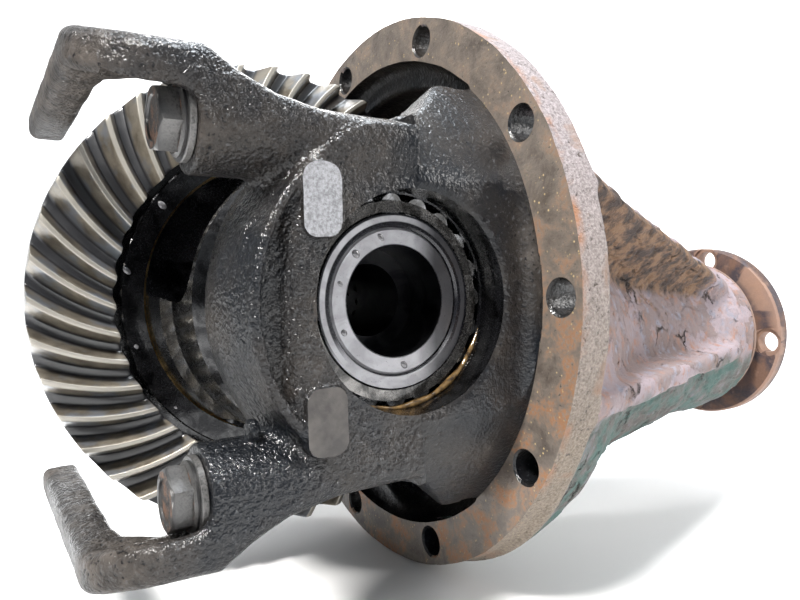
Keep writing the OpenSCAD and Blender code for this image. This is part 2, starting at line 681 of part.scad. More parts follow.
module lower_spider_washer() { color("goldenrod") in_case() rotate([0, -90, 0]) spider_washer(); }

carrier_housing();
near_bearing_cap();
far_bearing_cap();
cap_bolts();
cap_washers();
near_bearing_cup();
near_bearing_cage();
near_bearing_rollers();
near_bearing_cone();
far_bearing_cup();
far_bearing_cage();
far_bearing_rollers();
far_bearing_cone();
near_side_shim();
far_side_shim();
differential_case();
ring_gear();
ring_gear_bolts();
near_side_gear();
far_side_gear();
near_side_washer();
far_side_washer();
upper_spider_gear();
lower_spider_gear();
upper_spider_washer();
lower_spider_washer();
cross_shaft();
lock_pin();
pinion();
head_bearing_cup();
head_bearing_cage();
head_bearing_rollers();
head_bearing_cone();
tail_bearing_cup();
tail_bearing_cage();
tail_bearing_rollers();
tail_bearing_cone();
depth_shim();
crush_spacer();
oil_slinger();
oil_seal();
companion_flange();
dust_deflector();
pinion_washer();
pinion_nut();
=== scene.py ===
import json
import math

import bmesh
import bpy
import numpy as np
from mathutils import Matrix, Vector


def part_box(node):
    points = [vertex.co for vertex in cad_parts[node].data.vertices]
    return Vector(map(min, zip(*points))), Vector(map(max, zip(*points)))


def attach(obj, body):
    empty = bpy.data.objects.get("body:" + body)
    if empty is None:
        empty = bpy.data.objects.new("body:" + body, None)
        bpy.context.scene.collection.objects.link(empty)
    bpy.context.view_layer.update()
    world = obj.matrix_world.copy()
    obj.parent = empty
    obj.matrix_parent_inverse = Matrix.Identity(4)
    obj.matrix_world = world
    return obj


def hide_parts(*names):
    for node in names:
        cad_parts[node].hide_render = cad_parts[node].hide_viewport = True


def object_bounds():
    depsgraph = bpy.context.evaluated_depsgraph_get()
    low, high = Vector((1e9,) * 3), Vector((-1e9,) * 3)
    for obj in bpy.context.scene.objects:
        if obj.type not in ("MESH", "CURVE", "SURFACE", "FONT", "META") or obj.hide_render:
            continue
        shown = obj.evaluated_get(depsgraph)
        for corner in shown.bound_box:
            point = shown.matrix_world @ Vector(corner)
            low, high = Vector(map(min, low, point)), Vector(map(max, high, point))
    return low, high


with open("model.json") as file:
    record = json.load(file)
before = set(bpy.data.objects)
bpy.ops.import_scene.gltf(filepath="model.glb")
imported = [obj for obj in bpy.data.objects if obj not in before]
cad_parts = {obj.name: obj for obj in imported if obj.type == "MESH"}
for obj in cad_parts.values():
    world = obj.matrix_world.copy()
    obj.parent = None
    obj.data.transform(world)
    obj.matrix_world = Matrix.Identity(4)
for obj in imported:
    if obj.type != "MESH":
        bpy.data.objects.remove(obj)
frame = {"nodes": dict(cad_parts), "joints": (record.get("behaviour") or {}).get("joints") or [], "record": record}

import openvdb as vdb
from mathutils import Matrix, Vector

NODES = frame["nodes"]
CAD_BOX = [list(corner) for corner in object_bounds()]
MM = 0.001
FINE = 1.0      # voxels are this many times their finished size

# ---- places that the frame gives, in metres ----
JOINTS = {joint["name"]: joint for joint in frame["joints"]}
AXLE_X = JOINTS["case_spin"]["pos_m"][0]
PINION_Y, PINION_Z = JOINTS["pinion_spin"]["pos_m"][1:]
MOUNTS = {mount["name"]: mount for mount in frame["record"]["mounts"]}
FLANGE_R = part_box("carrier_housing")[1].z
FLANGE_T = 16 * MM
OPENING_R = 117 * MM
NEAR_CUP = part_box("near_bearing_cup")
FAR_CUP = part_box("far_bearing_cup")
CUP_R = NEAR_CUP[1].z
LIP_R = 40.1 * MM
NEAR_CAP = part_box("near_bearing_cap")
FAR_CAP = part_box("far_bearing_cap")
BARREL_END = 222 * MM
BOLT_Z = 59 * MM
PAST_ALL = 200 * MM        # farther out than any casting reaches
NEAR_BOLT_Y = -92 * MM
FAR_BOLT_Y = 84 * MM
NEAR_SEAT_X = -127 * MM
FAR_SEAT_X = -118 * MM


# ---- noise on arrays of points ----
HASH_PRIMES = (73856093, 19349663, 83492791)


def lattice_noise(points, size, seed=0):
    """Smooth noise from -1 to 1 at each point, with lumps about size metres across."""
    cells = points / size + 17.3 * (seed + 1)
    corner = np.floor(cells).astype(np.int64)
    part = cells - corner
    ease = part * part * (3 - 2 * part)
    total = np.zeros(len(points))
    for dx in (0, 1):
        for dy in (0, 1):
            for dz in (0, 1):
                at = corner + (dx, dy, dz)
                mixed = (seed + 11) * 2654435
                for axis, prime in enumerate(HASH_PRIMES):
                    mixed = mixed ^ at[:, axis] * prime
                mixed = (mixed ^ (mixed >> 13)) * 1274126177 & 0x7FFFFFFF
                value = ((mixed ^ (mixed >> 16)) & 0xFFFF) / 32767.5 - 1
                weight = (np.where(dx, ease[:, 0], 1 - ease[:, 0])
                          * np.where(dy, ease[:, 1], 1 - ease[:, 1])
                          * np.where(dz, ease[:, 2], 1 - ease[:, 2]))
                total += weight * value
    return total


def layered_noise(points, size, seed=0, layers=3):
    total = np.zeros(len(points))
    for layer in range(layers):
        total += lattice_noise(points, size / 2 ** layer, seed + layer) / 2 ** layer
    return total / 1.6


def ease(value, low, high):
    """0 below low, 1 above high, and a smooth step between."""
    part = np.clip((value - low) / (high - low), 0, 1)
    return part * part * (3 - 2 * part)


# ---- solids as fields of signed distance, below zero inside ----
def smooth_min(a, b, blend):
    if blend <= 0:
        return np.minimum(a, b)
    near = np.maximum(blend - np.abs(a - b), 0) / blend
    return np.minimum(a, b) - near * near * blend / 4


def rod(start, end, r_start, r_end=None, rounding=0.0):
    """A round bar, or a cone, between two points, with flat ends."""
    start, end = np.array(start, float), np.array(end, float)
    r_end = r_start if r_end is None else r_end
    length = np.linalg.norm(end - start)
    way = (end - start) / length
    widest = max(r_start, r_end)

    def distance(x, y, z):
        along = (x - start[0]) * way[0] + (y - start[1]) * way[1] + (z - start[2]) * way[2]
        square = (x - start[0]) ** 2 + (y - start[1]) ** 2 + (z - start[2]) ** 2
        away = np.sqrt(np.maximum(square - along ** 2, 0))
        side = away - (r_start + (r_end - r_start) * np.clip(along / length, 0, 1)) + rounding
        cap = np.maximum(-along, along - length) + rounding
        outside = np.sqrt(np.maximum(side, 0) ** 2 + np.maximum(cap, 0) ** 2)
        return outside + np.minimum(np.maximum(side, cap), 0) - rounding
    return distance, np.minimum(start, end) - widest, np.maximum(start, end) + widest


def outline_distance(points, u, v):
    """Distance from (u, v) to a closed outline, below zero inside."""
    nearest = None
    inside = None
    for (u0, v0), (u1, v1) in zip(points, points[1:] + points[:1]):
        du, dv = u1 - u0, v1 - v0
        t = np.clip(((u - u0) * du + (v - v0) * dv) / (du * du + dv * dv), 0, 1)
        square = (u - u0 - t * du) ** 2 + (v - v0 - t * dv) ** 2
        nearest = square if nearest is None else np.minimum(nearest, square)
        crosses = ((v0 > v) != (v1 > v)) & (u < (v - v0) * du / (dv if dv else 1e-9) + u0)
        inside = crosses if inside is None else inside ^ crosses
    return np.sqrt(nearest) * np.where(inside, -1, 1)


def plate(points, axis, low, high, rounding=0.0):
    """An outline in the plane across axis, as thick as low to high. The outline's two coordinates are the
    other two axes in x, y, z order."""
    across = [i for i in range(3) if i != axis]
    us, vs = [p[0] for p in points], [p[1] for p in points]

    def distance(*at):
        flat = outline_distance(points, at[across[0]], at[across[1]]) + rounding
        cap = np.abs(at[axis] - (low + high) / 2) - (high - low) / 2 + rounding
        outside = np.sqrt(np.maximum(flat, 0) ** 2 + np.maximum(cap, 0) ** 2)
        return outside + np.minimum(np.maximum(flat, cap), 0) - rounding
    box_low, box_high = np.zeros(3), np.zeros(3)
    box_low[axis], box_high[axis] = low, high
    box_low[across], box_high[across] = (min(us), min(vs)), (max(us), max(vs))
    return distance, box_low, box_high


class Field:
    """Signed distances on a grid with one spacing."""

    def __init__(self, low, high, step):
        self.step = step
        self.start = np.floor(np.array(low) / step).astype(int)
        count = np.ceil(np.array(high) / step).astype(int) - self.start + 1
        self.d = np.full(count, 12 * step, np.float32)

    def region(self, low, high, margin):
        first = np.floor((np.array(low) - margin) / self.step).astype(int) - self.start
        last = np.ceil((np.array(high) + margin) / self.step).astype(int) - self.start + 1
        first = np.clip(first, 0, self.d.shape)
        last = np.clip(last, 0, self.d.shape)
        part = tuple(slice(a, b) for a, b in zip(first, last))
        xyz = [((np.arange(a, b) + s) * self.step).astype(np.float32).reshape(shape)
               for a, b, s, shape in zip(first, last, self.start, ((-1, 1, 1), (1, -1, 1), (1, 1, -1)))]
        return part, xyz

    def join(self, shape, blend=0.0):
        distance, low, high = shape
        part, xyz = self.region(low, high, blend + 10 * self.step)
        self.d[part] = smooth_min(self.d[part], distance(*xyz).astype(np.float32), blend)

    def cut(self, shape, blend=0.0):
        distance, low, high = shape
        part, xyz = self.region(low, high, blend + 3 * self.step)
        self.d[part] = -smooth_min(-self.d[part], distance(*xyz).astype(np.float32), blend)

    def soften(self, spread):
        """Rounds every edge by about spread metres."""
        reach = max(1, int(round(2.5 * spread / self.step)))
        offsets = np.arange(-reach, reach + 1)
        weights = np.exp(-0.5 * (offsets * self.step / spread) ** 2)
        weights /= weights.sum()
        for axis in range(3):
            pad = [(reach, reach) if i == axis else (0, 0) for i in range(3)]
            wide = np.pad(self.d, pad, mode="edge")
            out = np.zeros_like(self.d)
            for offset, weight in zip(offsets, weights):
                part = [slice(None)] * 3
                part[axis] = slice(reach + offset, reach + offset + self.d.shape[axis])
                out += np.float32(weight) * wide[tuple(part)]
            self.d = out

    def surface(self, level=0.0):
        grid = vdb.FloatGrid(float(self.d.max()))
        grid.transform = vdb.createLinearTransform(voxelSize=self.step)
        grid.copyFromArray(self.d, ijk=tuple(int(i) for i in self.start), tolerance=0.0)
        return grid.convertToQuads(level)


def field_of(points, triangles, quads, step, reach):
    """The field of a closed surface, right within reach metres of it."""
    faces = {}
    if triangles is not None:
        faces["triangles"] = triangles
    if quads is not None:
        faces["quads"] = quads
    grid = vdb.FloatGrid.createLevelSetFromPolygons(
        points, transform=vdb.createLinearTransform(voxelSize=step), halfWidth=reach / step, **faces)
    low, high = grid.evalActiveVoxelBoundingBox()
    field = Field(np.array(low) * step, np.array(high) * step, step)
    field.start = np.array(low)
    field.d = np.zeros([b - a + 1 for a, b in zip(low, high)], np.float32)
    grid.copyToArray(field.d, ijk=low)
    return field


def cast_field(node, step, fillet):
    """A CAD node's field with its inside corners filled to a fillet, as a mould leaves them."""
    mesh = NODES[node].data
    mesh.calc_loop_triangles()
    triangles = np.empty(len(mesh.loop_triangles) * 3, np.int32)
    mesh.loop_triangles.foreach_get("vertices", triangles)
    field = field_of(read_vectors(mesh.vertices, "co"), triangles.reshape(-1, 3).astype(np.uint32), None,
                     step, fillet + 4 * step)
    grown, quads = field.surface(fillet)
    field = field_of(grown, None, quads, step, fillet + 5 * step)
    field.d += np.float32(fillet)
    return field


# ---- meshes ----
def new_object(name, mesh):
    piece = bpy.data.objects.new(name, mesh)
    bpy.context.scene.collection.objects.link(piece)
    return piece


def mesh_piece(name, points, faces):
    mesh = bpy.data.meshes.new(name)
    mesh.from_pydata([tuple(p) for p in points], [], [tuple(f) for f in faces])
    mesh.update()
    return new_object(name, mesh)


def array_piece(name, points, quads):
    """A mesh object from arrays of points and four-cornered faces."""
    mesh = bpy.data.meshes.new(name)
    mesh.vertices.add(len(points))
    mesh.vertices.foreach_set("co", np.asarray(points, np.float32).ravel())
    mesh.loops.add(quads.size)
    mesh.loops.foreach_set("vertex_index", quads.astype(np.int32).ravel())
    mesh.polygons.add(len(quads))
    mesh.polygons.foreach_set("loop_start", np.arange(0, quads.size, 4, dtype=np.int32))
    mesh.update(calc_edges=True)
    return new_object(name, mesh)


def read_vectors(items, key):
    """One vector for each of a mesh's points or faces, as an array."""
    values = np.empty(len(items) * 3, np.float32)
    items.foreach_get(key, values)
    return values.reshape(-1, 3)


def vertex_arrays(mesh):
    return (read_vectors(mesh.vertices, "co").astype(float),
            read_vectors(mesh.vertex_normals, "vector").astype(float))


def store(piece, name, values):
    """Keeps one value for each point of a piece, for its material to read."""
    layer = piece.data.attributes.new(name, "FLOAT", "POINT")
    layer.data.foreach_set("value", np.asarray(values, np.float32))


def displace(piece, height):
    """Moves each point along its normal by height(points, normals)."""
    points, normals = vertex_arrays(piece.data)
    points += normals * height(points, normals)[:, None]
    piece.data.vertices.foreach_set("co", points.astype(np.float32).ravel())
    piece.data.update()


def axes_about(direction):
    """A unit vector along direction and two across it."""
    along = Vector(direction).normalized()
    side = along.orthogonal().normalized()
    return along, side, along.cross(side)


def turned_piece(name, profile, origin, axis, segments=128):
    """A closed solid turned about an axis through origin. The profile's points are (radius, distance)."""
    along, side, other = axes_about(axis)
    points, faces = [], []
    for i in range(segments):
        angle = 2 * math.pi * i / segments
        out = side * math.cos(angle) + other * math.sin(angle)
        points += [Vector(origin) + along * d + out * r for r, d in profile]
    count = len(profile)
    for i in range(segments):
        here, there = i * count, (i + 1) % segments * count
        for j in range(count):
            after = (j + 1) % count
            faces.append((here + j, there + j, there + after, here + after))
    piece = mesh_piece(name, points, faces)
    mend(piece)
    return piece


def mend(piece):
    """Joins points that lie together and turns every face outwards."""
    work = bmesh.new()
    work.from_mesh(piece.data)
    bmesh.ops.remove_doubles(work, verts=work.verts, dist=1e-6)
    bmesh.ops.delete(work, geom=[edge for edge in work.edges if edge.is_wire], context="EDGES")
    bmesh.ops.recalc_face_normals(work, faces=work.faces)
    work.to_mesh(piece.data)
    work.free()
    piece.data.update()


def apply_modifiers(piece):
    graph = bpy.context.evaluated_depsgraph_get()
    graph.update()
    mesh = bpy.data.meshes.new_from_object(piece.evaluated_get(graph))
    piece.modifiers.clear()
    piece.data = mesh


def carve(piece, cutters):
    """Cuts sharp machined surfaces into a piece and removes the cutters."""
    for cutter in cutters:
        modifier = piece.modifiers.new("cut", "BOOLEAN")
        modifier.operation = "DIFFERENCE"
        modifier.solver = "MANIFOLD"
        modifier.object = cutter
    apply_modifiers(piece)
    for cutter in cutters:
        bpy.data.objects.remove(cutter)


def drum(start, end, r, chamfer=0.0, segments=128):
    """A solid cylinder between two points, to cut with. With a chamfer its start is wider."""
    start, end = Vector(start), Vector(end)
    length = (end - start).length
    profile = [(1e-7, 0), (r, 0), (r, length), (1e-7, length)]
    if chamfer:
        lead = 1 * MM
        profile = [(1e-7, 0), (r + chamfer + lead, 0), (r + chamfer, lead), (r, lead + chamfer),
                   (r, length), (1e-7, length)]
    return turned_piece("cutter", profile, start, end - start, segments)


def brick(low, high):
    corners = [(x, y, z) for x in (low[0], high[0]) for y in (low[1], high[1]) for z in (low[2], high[2])]
    faces = [(0, 1, 3, 2), (4, 6, 7, 5), (0, 4, 5, 1), (2, 3, 7, 6), (0, 2, 6, 4), (1, 5, 7, 3)]
    return mesh_piece("cutter", corners, faces)


def shade(piece, angle=38):
    piece.data.shade_smooth()
    piece.data.set_sharp_from_angle(angle=math.radians(angle))


def bevel(piece, width, segments=2, angle=30):
    modifier = piece.modifiers.new("edges", "BEVEL")
    modifier.width = width
    modifier.segments = segments
    modifier.limit_method = "ANGLE"
    modifier.angle_limit = math.radians(angle)
    modifier.harden_normals = False
    apply_modifiers(piece)


def paint(piece, materials, choose=None):
    """Gives a piece its materials. choose(centres, normals) says which one each face takes."""
    piece.data.materials.clear()
    for material in materials:
        piece.data.materials.append(material)
    if choose is not None:
        faces = piece.data.polygons
        choice = choose(read_vectors(faces, "center"), read_vectors(faces, "normal"))
        faces.foreach_set("material_index", choice.astype(np.int32))
    piece.data.update()


# ---- material building ----
class Look:
    """A Principled material and the nodes that feed it."""

    def __init__(self, name, **constants):
        self.material = bpy.data.materials.new(name)
        self.material.use_nodes = True
        self.tree = self.material.node_tree
        self.shader = self.tree.nodes["Principled BSDF"]
        self.place = self.tree.nodes.new("ShaderNodeTexCoord").outputs["Object"]
        for socket, value in constants.items():
            self.shader.inputs[socket.replace("_", " ")].default_value = value

    def node(self, kind, inputs, **settings):
        made = self.tree.nodes.new(kind)
        for key, value in settings.items():
            setattr(made, key, value)
        for key, value in inputs.items():
            if isinstance(value, bpy.types.NodeSocket):
                self.tree.links.new(value, made.inputs[key])
            else:
                made.inputs[key].default_value = value
        return made

    def noise(self, size, detail=3.0, rough=0.55, distortion=0.0, place=None):
        """Noise with lumps about size metres across."""
        return self.node("ShaderNodeTexNoise", {
            "Vector": place or self.place, "Scale": 1 / size, "Detail": detail,
            "Roughness": rough, "Distortion": distortion}).outputs["Fac"]

    def cells(self, size, feature="F1", place=None):
        return self.node("ShaderNodeTexVoronoi", {"Vector": place or self.place, "Scale": 1 / size},
                         feature=feature).outputs["Distance"]

    def stretched(self, x, y, z):
        return self.node("ShaderNodeMapping", {"Vector": self.place, "Scale": (x, y, z)}).outputs["Vector"]

    def attribute(self, name):
        """A value that the mesh holds at each of its points."""
        return self.node("ShaderNodeAttribute", {}, attribute_name=name).outputs["Fac"]

    def axis(self, name):
        return self.node("ShaderNodeSeparateXYZ", {"Vector": self.place}).outputs[name]

    def ramp(self, value, low, high, start=0.0, end=1.0):
        """start below low, end above high, and a straight line between."""
        return self.node("ShaderNodeMapRange", {
            "Value": value, "From Min": low, "From Max": high, "To Min": start, "To Max": end}
        ).outputs["Result"]

    def both(self, a, b, operation="MULTIPLY"):
        made = self.node("ShaderNodeMath", {0: a, 1: b}, operation=operation)
        made.use_clamp = operation in ("ADD", "SUBTRACT")
        return made.outputs["Value"]

    def blend(self, share, a, b):
        """Colour a where share is 0, colour b where it is 1."""
        made = self.node("ShaderNodeMix", {}, data_type="RGBA")
        for key, value in (("Factor", share), ("A", a), ("B", b)):
            socket = [s for s in made.inputs if s.name == key and s.enabled][0]
            if isinstance(value, bpy.types.NodeSocket):
                self.tree.links.new(value, socket)
            elif key == "Factor":
                socket.default_value = value
            else:
                socket.default_value = (*value, 1)
        return [s for s in made.outputs if s.enabled][0]

    def facing_up(self, low, high):
        """0 on surfaces that face down, 1 on those that face up."""
        normal = self.node("ShaderNodeNewGeometry", {}).outputs["Normal"]
        return self.ramp(self.node("ShaderNodeSeparateXYZ", {"Vector": normal}).outputs["Z"], low, high)

    def edge_wear(self, low=0.52, high=0.62):
        point = self.node("ShaderNodeNewGeometry", {}).outputs["Pointiness"]
        return self.ramp(point, low, high)

    def feed(self, **sockets):
        for socket, value in sockets.items():
            self.tree.links.new(value, self.shader.inputs[socket.replace("_", " ")])

    def bump(self, height, depth, strength=1.0):
        """Adds relief of depth metres under whatever relief is there."""
        old = self.shader.inputs["Normal"].links
        inputs = {"Height": height, "Distance": depth, "Strength": strength}
        if old:
            inputs["Normal"] = old[0].from_socket
        made = self.node("ShaderNodeBump", inputs).outputs["Normal"]
        self.feed(Normal=made)
        self.tree.links.new(made, self.shader.inputs["Coat Normal"])


def oily_casting():
    """Black cast iron, wet with old gear oil, with a little brown dust where it has dried."""
    look = Look("oily_casting", Metallic=0.0, Specular_IOR_Level=0.08, Coat_Roughness=0.075, Coat_IOR=1.5)
    grain = look.noise(1.5 * MM, 2, 0.5)
    fine = look.noise(0.6 * MM, 2, 0.6)
    lumps = look.noise(6 * MM, 3)
    patches = look.noise(34 * MM, 4, 0.6)
    hooks = look.ramp(look.axis("X"), -128 * MM, -152 * MM)
    dry = look.both(look.both(hooks, look.ramp(patches, 0.36, 0.60, 0.35, 1.0)),
                    look.both(look.ramp(patches, 0.60, 0.72), 0.6), "MAXIMUM")
    wet_colour = look.blend(look.ramp(patches, 0.40, 0.62), (0.0055, 0.0065, 0.0085), (0.021, 0.018, 0.016))
    dry_colour = look.blend(look.ramp(lumps, 0.32, 0.66), (0.030, 0.026, 0.023), (0.085, 0.073, 0.064))
    colour = look.blend(dry, wet_colour, dry_colour)
    # pale bluish specks on the high grain: painted highlights of the sky on the wet surface
    colour = look.blend(look.both(look.ramp(grain, 0.62, 0.76), 0.40), colour, (0.110, 0.113, 0.120))
    colour = look.blend(look.ramp(grain, 0.40, 0.30), colour, (0.004, 0.004, 0.005))
    dull = look.both(dry, look.ramp(fine, 0.3, 0.7, 0.0, 0.25), "ADD")
    look.feed(Base_Color=colour,
              Roughness=look.ramp(dull, 0, 1, 0.30, 0.62),
              Coat_Weight=look.both(look.ramp(dry, 0.1, 0.9, 1.0, 0.25),
                                    look.ramp(look.facing_up(-0.3, 0.6), 0, 1, 0.34, 1.0)))
    rough_side = look.ramp(look.axis("X"), -50 * MM, -78 * MM, 0.45, 1.0)
    look.bump(lumps, 1.1 * MM, look.both(rough_side, 0.8))
    look.bump(grain, 0.85 * MM, rough_side)
    look.bump(fine, 0.16 * MM, 0.8)
    return look.material


def ground_pad():
    """The cap's pads, ground flat: pale speckled grey on the upper one, brown and oily on the lower one."""
    look = Look("ground_pad", Metallic=0.2, Coat_Roughness=0.2, Coat_Weight=0.2)
    speckle = look.noise(1.0 * MM, 3, 0.7)
    wide = look.noise(9 * MM, 3)
    upper = look.blend(look.ramp(speckle, 0.35, 0.62), (0.150, 0.150, 0.158), (0.310, 0.312, 0.328))
    lower = look.blend(look.ramp(wide, 0.40, 0.62), (0.032, 0.028, 0.026), (0.070, 0.062, 0.056))
    look.feed(Base_Color=look.blend(look.ramp(look.axis("Z"), -0.01, 0.01), lower, upper),
              Roughness=look.ramp(speckle, 0.3, 0.7, 0.34, 0.58))
    look.bump(speckle, 0.18 * MM, 0.8)
    return look.material


def rusted_casting():
    """Plates of mauve and pink-brown rust with dark cracks, painted brown shade under the upper rib and a green
    patina below.
    """
    look = Look("rusted_casting", Metallic=0.0, Specular_IOR_Level=0.3)
    wander = look.node("ShaderNodeTexNoise", {
        "Vector": look.place, "Scale": 1 / (8 * MM), "Detail": 4.0, "Roughness": 0.65}).outputs["Color"]
    warped = look.node("ShaderNodeVectorMath", {
        0: wander, 1: (13 * MM, 13 * MM, 13 * MM), 2: look.place}, operation="MULTIPLY_ADD").outputs["Vector"]
    wide = look.noise(24 * MM, 4, 0.6)
    middle = look.noise(7 * MM, 4, 0.65)
    grain = look.noise(1.2 * MM, 3, 0.7)
    plates = look.node("ShaderNodeTexVoronoi", {"Vector": warped, "Scale": 1 / (17 * MM)}, feature="F1")
    tone = look.node("ShaderNodeSeparateXYZ", {"Vector": plates.outputs["Color"]}).outputs["X"]
    cracks = look.both(look.ramp(look.cells(17 * MM, "DISTANCE_TO_EDGE", warped), 0.0, 0.05, 1.0, 0.0),
                       look.ramp(wide, 0.55, 0.63))
    colour = look.blend(look.ramp(tone, 0.15, 0.85), (0.205, 0.158, 0.152), (0.290, 0.238, 0.255))
    colour = look.blend(look.ramp(middle, 0.54, 0.68), colour, (0.290, 0.165, 0.125))
    colour = look.blend(look.ramp(middle, 0.44, 0.34), colour, (0.235, 0.225, 0.262))
    green = look.both(look.attribute("patina"), look.ramp(look.noise(13 * MM, 4, 0.6), 0.40, 0.62))
    low = look.both(look.attribute("patina"), look.ramp(middle, 0.30, 0.60, 0.5, 1.0))
    colour = look.blend(low, colour, (0.078, 0.074, 0.066))
    colour = look.blend(green, colour, (0.062, 0.108, 0.096))
    # painted shade: the underside of the upper rib and the band below it, in dark and golden brown
    shade_colour = look.blend(look.ramp(middle, 0.42, 0.60), (0.052, 0.038, 0.033), (0.185, 0.112, 0.068))
    colour = look.blend(look.attribute("rib_underside_shade"), colour, shade_colour)
    colour = look.blend(look.ramp(grain, 0.37, 0.28), colour, (0.050, 0.032, 0.027))
    colour = look.blend(cracks, colour, (0.022, 0.014, 0.011))
    look.feed(Base_Color=colour, Roughness=look.ramp(grain, 0.3, 0.7, 0.62, 0.92))
    look.bump(tone, 1.3 * MM, 0.8)
    look.bump(look.ramp(cracks, 0.0, 1.0, 1.0, 0.0), 1.6 * MM, 1.0)
    look.bump(middle, 1.2 * MM, 0.8)
    look.bump(grain, 0.5 * MM, 1.0)
    return look.material


def weathered_rim():
    """The flange's rim: sandy iron, lilac at the top and brown below, with dark pits and a rusty edge."""
    look = Look("weathered_rim", Metallic=0.0)
    wide = look.noise(20 * MM, 5, 0.62, 0.5)
    sand = look.noise(1.1 * MM, 3, 0.7)
    pits = look.noise(2.6 * MM, 3, 0.6)
    height = look.ramp(look.axis("Z"), -0.06, 0.06)
    dark = look.blend(height, (0.095, 0.070, 0.050), (0.130, 0.108, 0.106))
    pale = look.blend(height, (0.265, 0.218, 0.170), (0.330, 0.292, 0.298))
    colour = look.blend(look.ramp(sand, 0.32, 0.66), dark, pale)
    colour = look.blend(look.ramp(wide, 0.56, 0.70), colour, (0.215, 0.135, 0.095))
    colour = look.blend(look.ramp(pits, 0.38, 0.30), colour, (0.060, 0.045, 0.038))
    edge = look.ramp(look.axis("X"), 0.0044, 0.0012)
    colour = look.blend(look.both(edge, look.ramp(wide, 0.46, 0.62)), colour, (0.270, 0.130, 0.070))
    look.feed(Base_Color=colour, Roughness=look.ramp(sand, 0.3, 0.7, 0.6, 0.9))
    look.bump(look.ramp(pits, 0.25, 0.5), 0.7 * MM, 0.8)
    look.bump(sand, 0.5 * MM, 1.0)
    return look.material


def stained_face():
    """The flange's machined face: turned iron under brown oil, with orange rust and golden specks."""
    look = Look("stained_face", Coat_Roughness=0.15)
    wide = look.noise(17 * MM, 5, 0.65, 0.4)
    fine = look.noise(2.0 * MM, 4, 0.68)
    specks = look.ramp(look.cells(2.6 * MM), 0.20, 0.10)
    colour = look.blend(look.ramp(wide, 0.36, 0.62), (0.070, 0.055, 0.044), (0.215, 0.180, 0.150))
    rust = look.both(look.ramp(wide, 0.48, 0.58), look.ramp(look.axis("Z"), 0.10, -0.06, 0.15, 1.0))
    colour = look.blend(look.both(rust, look.ramp(fine, 0.38, 0.55)), colour, (0.290, 0.140, 0.066))
    gold = look.both(specks, look.ramp(look.noise(10 * MM, 2), 0.44, 0.56))
    colour = look.blend(gold, colour, (0.440, 0.330, 0.170))
    colour = look.blend(look.ramp(fine, 0.38, 0.29), colour, (0.020, 0.016, 0.012))
    look.feed(Base_Color=colour,
              Metallic=look.ramp(wide, 0.40, 0.62, 0.05, 0.35),
              Roughness=look.ramp(fine, 0.3, 0.7, 0.32, 0.66),
              Coat_Weight=look.ramp(wide, 0.58, 0.42, 0.0, 0.6))
    look.bump(fine, 0.35 * MM, 0.9)
    look.bump(wide, 0.6 * MM, 0.4)
    return look.material


def tooth_steel():
    """Lapped gear steel with an oil film: bronze-grey flanks, pale worn tip edges that also stand in for their
    highlight, and black roots painted as the shade between the teeth.
    """
    look = Look("tooth_steel", Coat_Roughness=0.06, Coat_IOR=1.47, Coat_Weight=0.7)
    film = look.noise(8 * MM, 4, 0.6, 0.3)
    scratch = look.noise(0.6 * MM, 3, 0.6, place=look.stretched(1, 6, 1))
    depth = look.attribute("depth")
    steel = look.blend(look.ramp(film, 0.36, 0.60), (0.130, 0.110, 0.084), (0.235, 0.208, 0.166))
    steel = look.blend(look.ramp(look.noise(15 * MM, 3), 0.50, 0.62), steel, (0.190, 0.200, 0.218))
    # pale tip lands: worn edges with a painted highlight along them
    steel = look.blend(look.ramp(depth, 0.045, 0.0), steel, (0.300, 0.280, 0.245))
    # black roots: painted shade in the valleys between the teeth
    dark = look.ramp(depth, 0.78, 0.94)
    look.feed(Base_Color=look.blend(dark, steel, (0.006, 0.006, 0.008)),
              Metallic=look.ramp(dark, 0.2, 0.9, 0.60, 0.1),
              Roughness=look.both(look.ramp(scratch, 0.3, 0.7, 0.28, 0.42),
                                  look.ramp(film, 0.4, 0.7, 0.0, 0.12), "ADD"))
    look.bump(scratch, 0.06 * MM, 0.6)
    look.bump(film, 0.2 * MM, 0.4)
    return look.material


def oily_steel(name, colour, film_colour, rough=0.26, film_from=0.45, wet=1.0):
    """Turned or ground steel, partly under dark oil. wet scales how glossy the oil is."""
    look = Look(name, Coat_Roughness=0.05, Coat_IOR=1.47)
    film = look.noise(11 * MM, 4, 0.6, 0.7)
    fine = look.noise(0.8 * MM, 3, 0.6)
    share = look.ramp(film, film_from, film_from + 0.16)
    look.feed(Base_Color=look.blend(share, colour, film_colour),
              Metallic=look.ramp(share, 0, 1, 1.0, 0.55),
              Roughness=look.ramp(fine, 0.3, 0.7, rough - 0.07, rough + 0.09),
              Coat_Weight=look.ramp(share, 0, 1, 0.25 * wet, 0.9 * wet))
    look.bump(fine, 0.03 * MM, 0.5)
    look.bump(film, 0.12 * MM, 0.3)
    return look.material


def bolt_finish():
    """Dark bolt steel with dull grey faces and brighter worn edges."""
    look = Look("bolt_finish", Coat_Roughness=0.14, Coat_Weight=0.4)
    wide = look.noise(6 * MM, 4, 0.6)
    fine = look.noise(0.8 * MM, 3, 0.65)
    colour = look.blend(look.ramp(wide, 0.35, 0.62), (0.016, 0.016, 0.017), (0.055, 0.053, 0.052))
    colour = look.blend(look.both(look.edge_wear(0.53, 0.64), look.ramp(fine, 0.30, 0.55)), colour,
                        (0.330, 0.315, 0.300))
    look.feed(Base_Color=colour, Metallic=look.ramp(wide, 0.3, 0.7, 0.25, 0.6),
              Roughness=look.ramp(fine, 0.3, 0.7, 0.34, 0.56))
    look.bump(fine, 0.12 * MM, 0.8)
    look.bump(wide, 0.45 * MM, 0.5)
    return look.material


